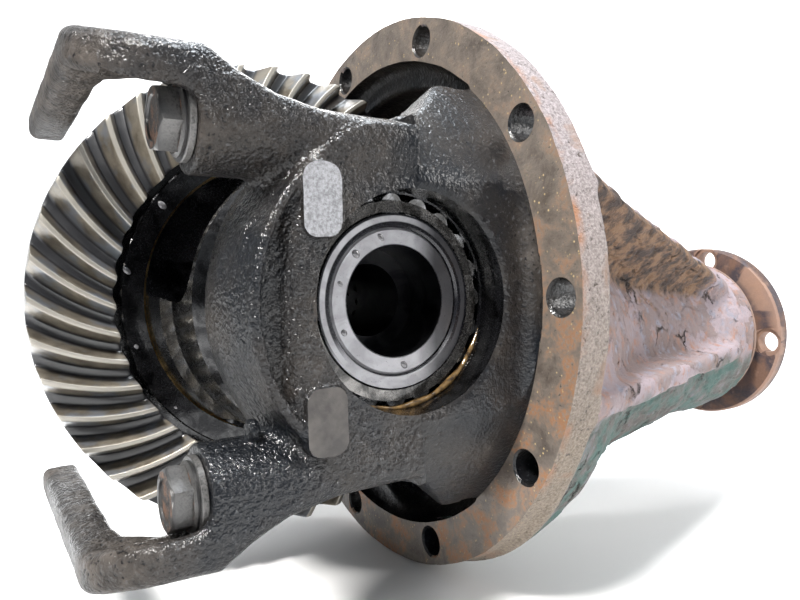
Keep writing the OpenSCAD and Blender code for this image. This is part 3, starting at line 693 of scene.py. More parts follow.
def bolt_rust():
    """The rusty crown of a bolt head."""
    look = Look("bolt_rust", Metallic=0.1)
    wide = look.noise(4 * MM, 4, 0.65)
    fine = look.noise(0.8 * MM, 3, 0.7)
    colour = look.blend(look.ramp(wide, 0.48, 0.62), (0.024, 0.022, 0.021), (0.125, 0.066, 0.040))
    look.feed(Base_Color=colour, Roughness=look.ramp(fine, 0.3, 0.7, 0.5, 0.85))
    look.bump(wide, 0.5 * MM, 0.7)
    look.bump(fine, 0.2 * MM, 0.8)
    return look.material


def forged_rust(name, bloom, rust):
    """Thin even rust on a forging: a dark bloom with patches of red-brown and a worn orange edge."""
    look = Look(name, Metallic=0.1)
    wide = look.noise(15 * MM, 5, 0.6, 0.5)
    fine = look.noise(1.1 * MM, 3, 0.7)
    colour = look.blend(look.ramp(wide, 0.42, 0.60), bloom, rust)
    spots = look.ramp(look.noise(6 * MM, 4), 0.58, 0.72)
    colour = look.blend(look.both(spots, 0.5), colour, (0.24, 0.15, 0.11))
    colour = look.blend(look.both(look.edge_wear(0.53, 0.60), 0.6), colour, (0.34, 0.21, 0.15))
    look.feed(Base_Color=colour, Roughness=look.ramp(fine, 0.3, 0.7, 0.50, 0.78))
    look.bump(fine, 0.16 * MM, 0.8)
    look.bump(wide, 0.5 * MM, 0.5)
    return look.material


def axle_rings():
    """Faces about the near end of the axle bore: a grey trunnion face, a black groove, the cone's bright rib,
    and black oil farther out and inside the bore. Below the axle a wider pale band is painted light, and right of
    the axle the pale faces are painted darker as a dark reflection."""
    look = Look("axle_rings", Coat_Roughness=0.06, Coat_IOR=1.47, Coat_Weight=0.35)
    flat = look.node("ShaderNodeMapping", {"Vector": look.place, "Location": (-AXLE_X, 0, 0),
                                           "Scale": (1, 0, 1)}).outputs["Vector"]
    radius = look.node("ShaderNodeVectorMath", {0: flat}, operation="LENGTH").outputs["Value"]
    film = look.noise(9 * MM, 4, 0.6, 0.7)
    fine = look.noise(0.7 * MM, 3, 0.6)
    # below the axle the pale band runs wider: painted light on the cone's chamfer and rib
    below = look.ramp(look.axis("Z"), -12 * MM, -22 * MM)
    trunnion = look.both(look.ramp(radius, 21.0 * MM, 21.4 * MM), look.ramp(radius, 27.6 * MM, 27.2 * MM))
    rib = look.both(look.ramp(radius, 29.4 * MM, 29.8 * MM), look.ramp(radius, 31.9 * MM, 31.5 * MM))
    lit_rib = look.both(below, look.both(look.ramp(radius, 27.8 * MM, 28.2 * MM),
                                         look.ramp(radius, 34.6 * MM, 34.2 * MM)))
    bare_and_painted_light = look.both(look.both(trunnion, rib, "MAXIMUM"), lit_rib, "MAXIMUM")
    # pale faces right of the axle are painted darker: a painted dark reflection on the flat face
    bare_and_painted_light = look.both(bare_and_painted_light, look.ramp(look.axis("X"), AXLE_X + 18 * MM, AXLE_X + 8 * MM, 0.12, 1.0))
    grey = look.blend(look.ramp(film, 0.40, 0.60), (0.420, 0.415, 0.435), (0.310, 0.305, 0.320))
    grey = look.blend(look.ramp(fine, 0.64, 0.78), grey, (0.120, 0.115, 0.120))
    dull = look.both(bare_and_painted_light, look.ramp(fine, 0.3, 0.7, 0.0, 0.2), "ADD")
    look.feed(Base_Color=look.blend(bare_and_painted_light, (0.008, 0.008, 0.011), grey),
              Metallic=look.ramp(bare_and_painted_light, 0, 1, 0.4, 0.55),
              Roughness=look.ramp(dull, 0, 1, 0.24, 0.50))
    look.bump(fine, 0.04 * MM, 0.6)
    look.bump(film, 0.12 * MM, 0.3)
    return look.material


def seal_rubber():
    look = Look("seal_rubber", Metallic=0.0)
    dust = look.noise(6 * MM, 4)
    fine = look.noise(0.6 * MM, 2)
    colour = look.blend(look.ramp(dust, 0.4, 0.65), (0.012, 0.012, 0.013), (0.07, 0.062, 0.055))
    look.feed(Base_Color=colour, Roughness=look.ramp(fine, 0.3, 0.7, 0.45, 0.7))
    look.bump(fine, 0.04 * MM, 0.5)
    return look.material


def oil_look(name, lumps, thin, thick, **constants):
    """Standing oil: glossy, in a tone between its thin and its thick parts."""
    look = Look(name, IOR=1.47, **constants)
    look.feed(Base_Color=look.blend(look.ramp(look.noise(lumps, 2), 0.35, 0.65), thin, thick))
    return look.material


CAST = oily_casting()
PAD = ground_pad()
RUST = rusted_casting()
RIM = weathered_rim()
FACE = stained_face()
TOOTH = tooth_steel()
DARK_STEEL = oily_steel("dark_turned_steel", (0.085, 0.085, 0.090), (0.012, 0.012, 0.014), 0.22, 0.40)
BLACK_OIL = oily_steel("oil_black_steel", (0.012, 0.012, 0.013), (0.006, 0.006, 0.007), 0.24, 0.40)
INSIDE = oily_steel("oil_black_inside", (0.010, 0.010, 0.012), (0.005, 0.005, 0.006), 0.34, 0.40, 0.25)
ROLLER_STEEL = oily_steel("roller_steel", (0.200, 0.200, 0.205), (0.030, 0.028, 0.026), 0.22, 0.42)
BRIGHT_STEEL = oily_steel("bright_ground_steel", (0.56, 0.55, 0.54), (0.16, 0.12, 0.075), 0.20, 0.56)
GREY_STEEL = oily_steel("grey_ground_steel", (0.42, 0.415, 0.41), (0.10, 0.085, 0.06), 0.30, 0.55)
CAGE_STEEL = oily_steel("cage_steel", (0.23, 0.22, 0.21), (0.020, 0.018, 0.016), 0.24, 0.44)
BRONZE = oily_steel("bronze_thrust_face", (0.52, 0.37, 0.17), (0.12, 0.08, 0.035), 0.30, 0.50)
RINGS = axle_rings()
BOLT = bolt_finish()
BOLT_CROWN = bolt_rust()
FORGED = forged_rust("forged_rust", (0.046, 0.034, 0.040), (0.130, 0.070, 0.047))
GUARD = forged_rust("guard_rust", (0.105, 0.086, 0.080), (0.180, 0.125, 0.098))
RUBBER = seal_rubber()
OIL = oil_look("amber_oil", 3 * MM, (0.030, 0.017, 0.007), (0.190, 0.115, 0.042), Metallic=0.0,
               Roughness=0.04, Coat_Weight=0.5, Coat_Roughness=0.03)
DROPS = oil_look("clear_drops", 2 * MM, (0.060, 0.058, 0.062), (0.170, 0.165, 0.175), Metallic=0.25,
                 Roughness=0.03, Coat_Weight=1.0, Coat_Roughness=0.02)

CAD_LOOKS = {
    DARK_STEEL: ["near_bearing_cup", "far_bearing_cup", "head_bearing_cup", "tail_bearing_cup",
                 "ring_gear"],
    BLACK_OIL: ["differential_case"],
    CAGE_STEEL: ["near_bearing_cage", "far_bearing_cage", "head_bearing_cage", "tail_bearing_cage"],
    BRIGHT_STEEL: ["far_bearing_rollers", "head_bearing_rollers",
                   "tail_bearing_rollers", "far_bearing_cone", "head_bearing_cone", "tail_bearing_cone"],
    RINGS: ["near_bearing_cone"],
    GREY_STEEL: ["pinion", "crush_spacer", "oil_slinger"],
    INSIDE: ["near_side_gear", "far_side_gear", "upper_spider_gear", "lower_spider_gear", "cross_shaft",
             "lock_pin"],
    ROLLER_STEEL: ["near_bearing_rollers"],
    BRONZE: ["near_side_shim", "far_side_shim", "depth_shim", "near_side_washer", "far_side_washer",
             "upper_spider_washer", "lower_spider_washer"],
    BOLT: ["cap_bolts", "cap_washers", "ring_gear_bolts", "pinion_nut", "pinion_washer"],
    FORGED: ["companion_flange"],
    GUARD: ["dust_deflector"],
    RUBBER: ["oil_seal"],
    CAST: ["carrier_housing", "near_bearing_cap", "far_bearing_cap"],
}
for material, names in CAD_LOOKS.items():
    for name in names:
        paint(NODES[name], [material])
paint(NODES["differential_case"], [BLACK_OIL, RINGS, INSIDE], lambda centres, normals: np.where(
    np.hypot(centres[:, 0] - AXLE_X, centres[:, 2]) > 30 * MM, 0,
    np.where((centres[:, 1] < -90 * MM) & (normals[:, 1] < -0.5), 1, 2)))


# ---- castings ----
def bearing_cutters(cup):
    """The bores that both halves of a bearing's seat share."""
    side = 1 if cup[1].y > 0 else -1
    outer = max(abs(cup[0].y), abs(cup[1].y))
    past_face, past_back = outer + 30 * MM, 60 * MM
    return [drum((AXLE_X, side * past_face, 0), (AXLE_X, side * past_back, 0), LIP_R),
            drum((AXLE_X, side * outer, 0), (AXLE_X, side * past_back, 0), CUP_R)]


def sand_skin(points, normals):
    """The fine unevenness of a sand casting."""
    return 0.16 * MM * layered_noise(points, 2.6 * MM, 3, 2) + 0.22 * MM * lattice_noise(points, 11 * MM, 9)


def seat_cutters(x, y, z, above_seat, above_hole):
    """A bolt's flat seat and the hole that runs on from it."""
    seat_r, hole_r = 14 * MM, 6.25 * MM
    return [drum((x - above_seat, y, z), (x, y, z), seat_r), drum((x - above_hole, y, z), (0, y, z), hole_r)]


def near_cap():
    step = 0.7 * MM * FINE
    low, high = NEAR_CAP
    margin = 6 * MM
    past_parting = AXLE_X + 8 * MM
    field = Field((low.x - margin, low.y - margin, low.z - margin),
                  (past_parting, high.y + margin, high.z + margin), step)
    face_y, edge_y, back_y = -108.5 * MM, -86 * MM, -75 * MM
    field.join(rod((AXLE_X, face_y, 0), (AXLE_X, edge_y, 0), 61.5 * MM, 66.5 * MM))
    field.join(rod((AXLE_X, edge_y - 0.5 * MM, 0), (AXLE_X, back_y, 0), 66.4 * MM, 66 * MM))
    for side in (-1, 1):
        z = side * BOLT_Z
        field.join(rod((NEAR_SEAT_X, NEAR_BOLT_Y, z), (past_parting, NEAR_BOLT_Y, z), 16.5 * MM, 17 * MM,
                       1.2 * MM), 7 * MM)
        hook(field, side)
    field.join(ridge(face_y), 2 * MM)
    for pad_low, pad_high in (((-96.5, 22), (-82.5, 46.5)), ((-97, -49), (-82, -26))):
        outline = rounded_outline(pad_low, pad_high, 5)
        field.join(plate(outline, 1, face_y - 2.6 * MM, back_y, 1.0 * MM), 1.0 * MM)
    for z in (23 * MM, -40 * MM):
        plug = rod((-112 * MM, -96 * MM, z), (-108 * MM, -96 * MM, z), 4 * MM, rounding=1.5 * MM)
        field.join(plug, 1.5 * MM)
    field.cut(crescent(face_y), 1.6 * MM)
    piece = array_piece("near_cap_casting", *field.surface())
    displace(piece, lambda points, normals: sand_skin(points, normals) + rough_patch(points, face_y))
    cutters = [brick((AXLE_X, -PAST_ALL, -PAST_ALL), (PAST_ALL / 2, PAST_ALL, PAST_ALL))]
    cutters += bearing_cutters(NEAR_CUP)
    ground_y = face_y - 2.1 * MM
    cutters.append(brick((-110 * MM, ground_y - 6.9 * MM, -60 * MM), (-70 * MM, ground_y, 60 * MM)))
    for side in (-1, 1):
        z = side * BOLT_Z
        cutters += seat_cutters(NEAR_SEAT_X, NEAR_BOLT_Y, z, 26 * MM, 5 * MM)
    carve(piece, cutters)
    shade(piece)
    paint(piece, [CAST, PAD, BLACK_OIL], lambda centres, normals: (
        ((centres[:, 1] < face_y - 1.9 * MM) & (normals[:, 1] < -0.9) & (np.abs(centres[:, 2]) < 48 * MM)
         & (centres[:, 0] > -0.1) & (centres[:, 0] < -0.08)).astype(int) + 2 * bored(centres, normals)))
    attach(piece, "carrier")
    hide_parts("near_bearing_cap")


def bored(centres, normals):
    """Whether each face is part of a side bearing's bore."""
    away = centres[:, ::2] - (AXLE_X, 0)
    radius = np.linalg.norm(away, axis=1)
    inward = np.sum(away * normals[:, ::2], axis=1) < -0.7 * radius
    return (inward & (radius < 46 * MM) & (np.abs(centres[:, 1]) > 60 * MM)).astype(int)


def rough_patch(points, face_y):
    """Spalled metal between the crescent and the bearing's bore."""
    away = np.sqrt((points[:, 0] + 93.5 * MM) ** 2 + (points[:, 1] - face_y) ** 2)
    near = ease(away, 5 * MM, 1.5 * MM) * ease(np.abs(points[:, 2] + 3 * MM), 22 * MM, 14 * MM)
    return near * MM * (0.5 + 1.3 * layered_noise(points, 4 * MM, 51, 3))


def hook(field, side):
    """A guard arm: a leg rearwards from the bolt boss, a round corner, and a leg across to the ring gear."""
    z_low, z_high = 69.5 * MM, 82.5 * MM
    outline = [(-147 * MM, 26 * MM), (-161 * MM, 25 * MM), (-161 * MM, -84 * MM)]
    corner, corner_r = (-137 * MM, -84 * MM), 24 * MM
    steps = 8
    for i in range(1, steps + 1):
        angle = math.pi + math.pi / 2 * i / steps
        outline.append((corner[0] + corner_r * math.cos(angle), corner[1] + corner_r * math.sin(angle)))
    outline += [(-96 * MM, -106 * MM), (-74 * MM, -98 * MM), (-74 * MM, -76 * MM), (-118 * MM, -76 * MM),
                (-134 * MM, -78 * MM), (-145 * MM, -70 * MM), (-147 * MM, -58 * MM)]
    low, high = (z_low, z_high) if side > 0 else (-z_high, -z_low)
    flat, box_low, box_high = plate(outline, 2, low, high, 4.5 * MM)

    def bowed(x, y, z):
        rise = np.interp(y, [-106 * MM, -80 * MM, 26 * MM], [-3.3 * MM, 4.5 * MM, 1.0 * MM])
        return flat(x, y, z - side * rise)
    field.join((bowed, box_low - 5 * MM, box_high + 5 * MM), 9 * MM)
    along = [-134 * MM, -122 * MM, -115 * MM, -109 * MM, -102 * MM, -86 * MM, -60 * MM]
    height = [100 * MM, 82 * MM, 77 * MM, 74 * MM, 71 * MM, 68 * MM, 67 * MM]

    def shoulder(x, y, z):
        return np.interp(x, along, height) + 0.28 * (y - NEAR_BOLT_Y) - side * z
    ends = sorted((side * 60 * MM, side * 105 * MM))
    field.cut((shoulder, np.array((-134 * MM, -125 * MM, ends[0])),
               np.array((-40 * MM, -60 * MM, ends[1]))), 3 * MM)


def rounded_outline(low, high, radius, steps=5):
    """A rectangle with round corners, from millimetres to metres."""
    points = []
    (left, right), (bottom, top) = [(a + radius, b - radius) for a, b in zip(low, high)]
    for corner, (x, z) in enumerate(((right, top), (left, top), (left, bottom), (right, bottom))):
        for i in range(steps + 1):
            angle = math.pi / 2 * (corner + i / steps)
            points.append(((x + radius * math.cos(angle)) * MM, (z + radius * math.sin(angle)) * MM))
    return points


def ridge(face_y):
    """The round bead that edges the crescent."""
    bead_r, middle_r, end_x = 2.0 * MM, 60.2 * MM, -88 * MM

    def distance(x, y, z):
        radius = np.sqrt((x - AXLE_X) ** 2 + z ** 2)
        bead = np.sqrt((radius - middle_r) ** 2 + (y - face_y - 0.6 * MM) ** 2) - bead_r
        return np.maximum(bead, x - end_x)
    reach = middle_r + bead_r
    return distance, np.array((AXLE_X - reach, face_y - bead_r, -50 * MM)), np.array(
        (end_x, face_y + 2 * bead_r, 50 * MM))


def crescent(face_y):
    """A recess in the cap's near face that deepens from beside the bearing towards the ridge."""
    ridge_r, chord_x, depth, slope_x = 58.6 * MM, -98 * MM, 4.5 * MM, 5 * MM

    def distance(x, y, z):
        radius = np.sqrt((x - AXLE_X) ** 2 + z ** 2)
        floor = face_y + depth * np.clip((chord_x - x) / slope_x, 0, 1)
        return np.maximum(np.maximum(radius - ridge_r, x - chord_x), y - floor)
    return distance, np.array((-115 * MM, face_y - depth, -40 * MM)), np.array(
        (chord_x, face_y + depth, 40 * MM))


def cap_bolt(name, seat):
    """A cap bolt's head with its flange and washer, as seen from behind the cap."""
    seat = Vector(seat)
    washer_t, head_h, flats_r, rear = 2.5 * MM, 8 * MM, 9.5 * MM, Vector((-1, 0, 0))
    corner_r = flats_r / math.cos(math.radians(30))
    collar = turned_piece(name + "_collar", [
        (1e-7, 0), (6.2 * MM, 0), (12.6 * MM, 0), (13 * MM, 0.4 * MM), (13 * MM, washer_t - 0.4 * MM),
        (12.6 * MM, washer_t), (11.4 * MM, washer_t + 0.1 * MM), (11.5 * MM, washer_t + 0.9 * MM),
        (10.4 * MM, washer_t + 1.7 * MM), (1e-7, washer_t + 1.7 * MM)], seat, rear, 96)
    points, faces = [], [tuple(range(6)), tuple(range(6, 12))]
    turn = math.radians(12 if seat.z > 0 else 34)
    for distance in (washer_t + 1 * MM, washer_t + head_h):
        for i in range(6):
            angle = turn + i * math.pi / 3
            points.append(seat + rear * distance + Vector((0, math.cos(angle), math.sin(angle))) * corner_r)
    for i in range(6):
        faces.append((i, (i + 1) % 6, 6 + (i + 1) % 6, 6 + i))
    head = mesh_piece(name + "_head", points, faces)
    mend(head)
    top = washer_t + head_h
    slope = math.tan(math.radians(28))
    chamfer_r, past_r, dish = 9.3 * MM, 14 * MM, 0.7 * MM
    carve(head, [
        turned_piece("cutter", [(chamfer_r, top), (chamfer_r, top + 2 * MM), (past_r, top + 2 * MM),
                                (past_r, top - (past_r - chamfer_r) * slope)], seat, rear, 96),
        turned_piece("cutter", [(1e-7, top - dish), (6.8 * MM, top - dish), (7.6 * MM, top + 1 * MM),
                                (1e-7, top + 1 * MM)], seat, rear, 96)])
    bevel(head, 0.3 * MM, 2, 24)
    for piece in (collar, head):
        shade(piece, 30)
        paint(piece, [BOLT, BOLT_CROWN], lambda centres, normals: (
            (normals[:, 0] < -0.9) & (np.hypot(centres[:, 1] - seat.y, centres[:, 2] - seat.z) < 7.2 * MM)
            ).astype(int))
        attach(piece, "carrier")
    return head, collar


def cap_bolts():
    heads, collars = [], []
    for side in (-1, 1):
        for end, x, y in (("near", NEAR_SEAT_X, NEAR_BOLT_Y), ("far", FAR_SEAT_X, FAR_BOLT_Y)):
            name = end + ("_upper" if side > 0 else "_lower") + "_cap_bolt"
            head, collar = cap_bolt(name, (x, y, side * BOLT_Z))
            heads.append(head)
            collars.append(collar)
    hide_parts("cap_bolts")
    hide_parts("cap_washers")


def far_cap():
    step = 0.9 * MM * FINE
    field = cast_field("far_bearing_cap", step, 5 * MM)
    field.soften(1.1 * MM)
    piece = array_piece("far_cap_casting", *field.surface())
    displace(piece, sand_skin)
    cutters = bearing_cutters(FAR_CUP)
    for side in (-1, 1):
        z = side * BOLT_Z
        cutters += seat_cutters(FAR_SEAT_X, FAR_BOLT_Y, z, 8 * MM, 9 * MM)
    carve(piece, cutters)
    shade(piece)
    paint(piece, [CAST])
    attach(piece, "carrier")
    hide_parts("far_bearing_cap")


def rust_flakes(points, normals):
    """Plates of lifting rust on the nose, sand texture on the rim, and oily casting inside."""
    outside = ease(points[:, 0], FLANGE_T + 1 * MM, FLANGE_T + 6 * MM) * ease(
        np.hypot(points[:, 1] - PINION_Y, points[:, 2] - PINION_Z), 44 * MM, 47 * MM)
    stretch = points * (0.8, 1.15, 1.0)
    plates = layered_noise(stretch, 15 * MM, 21, 3)
    levels = ease(plates, -0.22, -0.10) * 0.5 + ease(plates, 0.06, 0.16) * 0.5
    cracks = ease(np.abs(layered_noise(stretch, 12 * MM, 33, 3)), 0.075, 0.0)
    lumps = layered_noise(points, 26 * MM, 41, 3)
    relief = MM * (1.1 * levels - 0.75 * cracks + 0.7 * lumps - 0.6)
    return outside * relief + sand_skin(points, normals)


def housing_material(centres, normals):
    """0 oily casting, 1 rusted casting, 2 rim, 3 machined face, 4 bearing bore."""
    x, y, z = centres.T
    radius = np.hypot(y, z)
    choice = np.zeros(len(centres), int)
    choice[x > FLANGE_T - 1.5 * MM] = 1
    choice[(x > -1 * MM) & (radius > FLANGE_R - 4 * MM) & (x < FLANGE_T + 1 * MM)] = 2
    inward = np.sum(centres[:, 1:] * normals[:, 1:], axis=1) < 0
    choice[(x < FLANGE_T) & (radius < OPENING_R + 0.5 * MM)] = 0
    choice[(normals[:, 0] < -0.9) & (radius > OPENING_R - 0.5 * MM) & (np.abs(x) < 0.4 * MM)] = 3
    about_pinion = np.hypot(y - PINION_Y, z - PINION_Z)
    toward_pinion = (y - PINION_Y) * normals[:, 1] + (z - PINION_Z) * normals[:, 2]
    hollow = (toward_pinion < -0.3 * about_pinion) & (radius < 118 * MM) & inward
    choice = np.where(hollow & (x > 1 * MM), 0, choice)
    return np.where(bored(centres, normals) > 0, 4, choice)


def mount_angles():
    """Angles from the axle axis of all the flange's holes, worked out from its bolt patterns."""
    angles = [0, 180]
    for name in ("axle_bolts_side", "axle_bolts_top"):
        dims = MOUNTS[name]["dims"]
        angle = math.degrees(math.atan2(dims["spacing_y_mm"], dims["spacing_x_mm"]))
        angles += [angle, 180 - angle, -angle, angle - 180]
    return angles


def rib_underside_shade(points, normals):
    """Where the upper rib shades the nose, painted as darker brown shade, from 0 to 1."""
    rib = math.radians(142)
    down = normals[:, 1] * math.sin(rib) * -1 + normals[:, 2] * math.cos(rib)
    angle = np.arctan2(points[:, 2] - PINION_Z, points[:, 1] - PINION_Y)
    below = ease(angle, rib + 0.20, rib + 0.10) * ease(angle, rib - 0.02, rib)
    facing = ease(down, 0.35, 0.75) * ease(points[:, 2], -20 * MM, -12 * MM)
    return np.maximum(facing, below) * ease(points[:, 0], FLANGE_T + 0.5 * MM, FLANGE_T + 2 * MM) * ease(
        points[:, 0], 178 * MM, 160 * MM) * (points[:, 1] < 0)


def patina(points, normals):
    """The nose's lower side, from 0 to 1."""
    angle = np.arctan2(points[:, 2] - PINION_Z, points[:, 1] - PINION_Y)
    angle = np.where(angle < 0, angle + 2 * math.pi, angle)
    edge = math.radians(188) + 0.22 * layered_noise(points, 24 * MM, 61, 3)
    return ease(angle, edge, edge + 0.22) * ease(points[:, 0], FLANGE_T, FLANGE_T + 2 * MM)


def carrier():
    step = 1.0 * MM * FINE
    field = cast_field("carrier_housing", step, 5 * MM)
    field.soften(1.2 * MM)
    stock = 3 * MM
    ring_stock(field, stock)
    for low, high in ((NEAR_CAP[0].y + 2 * MM, NEAR_CAP[1].y), (FAR_CAP[0].y, FAR_CAP[1].y)):
        pedestal_stock(field, low, high)
    piece = array_piece("carrier_casting", *field.surface())
    displace(piece, rust_flakes)
    cutters = bearing_cutters(NEAR_CUP) + bearing_cutters(FAR_CUP)
    cutters.append(brick((AXLE_X - 20 * MM, -PAST_ALL, -PAST_ALL), (AXLE_X, PAST_ALL, PAST_ALL)))
    cutters.append(face_ring())
    # room for the differential case to turn in, then the holes that the cap bolts screw into
    case_room_r, bolt_hole_r = 67.5 * MM, 6.1 * MM
    cutters.append(drum((AXLE_X, -64 * MM, 0), (AXLE_X, 60 * MM, 0), case_room_r))
    for side in (-1, 1):
        for y in (NEAR_BOLT_Y, FAR_BOLT_Y):
            z = side * BOLT_Z
            cutters.append(drum((AXLE_X - 4 * MM, y, z), (AXLE_X + 34 * MM, y, z), bolt_hole_r, 0, 48))
    circle_r, mount_r, chamfer = 126 * MM, 6.75 * MM, 0.9 * MM
    for angle in mount_angles():
        turn = math.radians(angle)
        y, z = circle_r * math.cos(turn), circle_r * math.sin(turn)
        cutters.append(drum((-1 * MM, y, z), (FLANGE_T + 6 * MM, y, z), mount_r, chamfer, 48))
    carve(piece, cutters)
    shade(piece)
    paint(piece, [CAST, RUST, RIM, FACE, BLACK_OIL], housing_material)
    # the painted shade under the upper rib and the patina's share, stored for the nose's material
    for name, share in (("rib_underside_shade", rib_underside_shade), ("patina", patina)):
        store(piece, name, share(*vertex_arrays(piece.data)))
    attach(piece, "carrier")
    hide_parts("carrier_housing")


def ring_stock(field, stock):
    """Metal in front of the flange, which the machined face is then cut back from."""
    def distance(x, y, z):
        radius = np.sqrt(y ** 2 + z ** 2)
        ring = np.maximum(radius - FLANGE_R + 0.2 * MM, OPENING_R - radius)
        return np.maximum(ring, np.abs(x - 4 * MM) - 4 * MM - stock)
    reach = FLANGE_R + stock
    field.join((distance, np.array((-stock, -reach, -reach)), np.array((12 * MM, reach, reach))))


def pedestal_stock(field, low, high):
    """Fills a bearing saddle and runs past the parting plane, ready for boring."""
    def distance(x, y, z):
        radius = np.sqrt((x - AXLE_X) ** 2 + z ** 2)
        disc = np.maximum(radius - CUP_R - 4 * MM, AXLE_X - 3 * MM - x)
        strip = np.maximum(np.abs(z) - 66 * MM, np.abs(x - AXLE_X) - 3 * MM)
        return np.maximum(np.minimum(disc, strip), np.maximum(low + 1 * MM - y, y - high + 1 * MM))
    field.join((distance, np.array((AXLE_X - 3 * MM, low, -67 * MM)), np.array((0.0, high, 67 * MM))))


def face_ring():
    """Everything in front of the flange's face and outside the opening."""
    depth, inner_r, outer_r = 12 * MM, OPENING_R - 1 * MM, FLANGE_R + 6 * MM
    return turned_piece("cutter", [(inner_r, -depth), (outer_r, -depth), (outer_r, 0), (inner_r, 0)],
                        (0, 0, 0), (1, 0, 0), 256)


# ---- ring gear ----
RING_TEETH = 41
PINION_TEETH = 11
SPIRAL = math.radians(30)
PITCH_R = 97 * MM
RING_R = 113.7 * MM
TOE_R = 80 * MM
ADDENDUM = 2.0 * MM
DEDENDUM = 6.6 * MM
TIP_SHARE = 0.15           # half widths of a tooth at its tip and root, as shares of half the pitch
ROOT_SHARE = 0.66
RING_BACK = 46 * MM
RING_BASE = 26 * MM
PILOT_R = 66 * MM


def ring_pitch_y(radius):
    """Distance along the axle axis of the pitch surface, where the pinion rolls on the ring gear."""
    x = math.sqrt(radius ** 2 - PINION_Z ** 2)
    slope = math.tan(math.atan2(PINION_Z, x) - SPIRAL)
    return PINION_Y + PINION_TEETH / RING_TEETH * (x + slope * PINION_Z)


def tooth_twist(radius):
    """How far round the axle axis a tooth has curved at a radius. Its spiral is steeper at the heel."""
    curve = math.radians(6) / (RING_R - PITCH_R)
    steps = 12
    twist = 0
    for i in range(steps):
        at = PITCH_R + (radius - PITCH_R) * (i + 0.5) / steps
        twist -= math.tan(SPIRAL + curve * (at - PITCH_R)) * (radius - PITCH_R) / steps / at
    return twist


def tooth_profile(radius):
    """One tooth's outline at a radius: angle, place along the axle axis and depth from tip to root."""
    scale = radius / PITCH_R
    half_pitch = math.pi * radius / RING_TEETH
    pitch_y = ring_pitch_y(radius)
    tip_y, root_y = pitch_y - ADDENDUM * scale, pitch_y + DEDENDUM * scale
    steps, root_fillet, fillet_from = 8, 0.6 * MM, 0.75
    flank = []
    for i in range(steps + 1):
        t = i / steps
        y = tip_y + (root_y - tip_y) * t
        width = half_pitch * (TIP_SHARE + (ROOT_SHARE - TIP_SHARE) * t ** 0.9)
        width += root_fillet * max(0, (t - fillet_from) / (1 - fillet_from)) ** 2
        flank.append((width / radius, y, t))
    land, crown_y = flank[0][0] * 0.45, tip_y - 0.02 * MM
    tip = [(-land, crown_y, 0.0), (land, crown_y, 0.0)]
    left = [(-angle, y, t) for angle, y, t in reversed(flank)]
    return left + tip + flank


def ring_gear():
    slices = 22
    radii = [TOE_R + (RING_R - TOE_R) * i / slices for i in range(slices + 1)]
    points, depths = [], []
    for radius in radii:
        twist = tooth_twist(radius)
        for tooth in range(RING_TEETH):
            for angle, y, t in tooth_profile(radius):
                a = angle + twist + 2 * math.pi * tooth / RING_TEETH
                points.append((AXLE_X + radius * math.cos(a), y, radius * math.sin(a)))
                depths.append(t)
    count = len(points) // len(radii)
    for radius in (TOE_R, RING_R):
        start = 0 if radius == TOE_R else slices * count
        for x, y, z in points[start:start + count]:
            points.append((x, RING_BASE, z))
            depths.append(1.0)
    faces = []

    def strip(a, b):
        for i in range(count):
            after = (i + 1) % count
            faces.append((a + i, b + i, b + after, a + after))
    for i in range(slices):
        strip(i * count, (i + 1) * count)
    base = (slices + 1) * count
    strip(slices * count, base + count)
    strip(base + count, base)
    strip(base, 0)
    piece = mesh_piece("ring_gear_teeth", points, faces)
    store(piece, "depth", depths)
    mend(piece)
    bevel(piece, 0.32 * MM, 2, 42)
    shade(piece, 40)
    paint(piece, [TOOTH])
    blank = turned_piece("ring_gear_blank", [
        (PILOT_R + 0.05 * MM, RING_BASE - 13 * MM), (PILOT_R + 1.1 * MM, RING_BASE - 14 * MM),
        (TOE_R - 3.6 * MM, RING_BASE - 14 * MM),
        (TOE_R - 3 * MM, RING_BASE - 13.4 * MM), (TOE_R - 3 * MM, RING_BASE), (112.5 * MM, RING_BASE),
        (110 * MM, RING_BASE + 6 * MM), (105.6 * MM, RING_BACK - 0.8 * MM),
        (104.8 * MM, RING_BACK - 0.05 * MM),
        (PILOT_R + 0.05 * MM, RING_BACK - 0.05 * MM)], (AXLE_X, 0, 0), (0, 1, 0), 192)
    shade(blank, 30)
    # the bronze inner chamfer of the steel blank is a painted golden highlight along the edge
    paint(blank, [BLACK_OIL, BRONZE], lambda centres, normals: (
        np.hypot(centres[:, 0] - AXLE_X, centres[:, 2]) < PILOT_R + 1.0 * MM).astype(int)
        * (np.abs(normals[:, 1]) > 0.3))
    for part in (piece, blank):
        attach(part, "case")
    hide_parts("ring_gear")


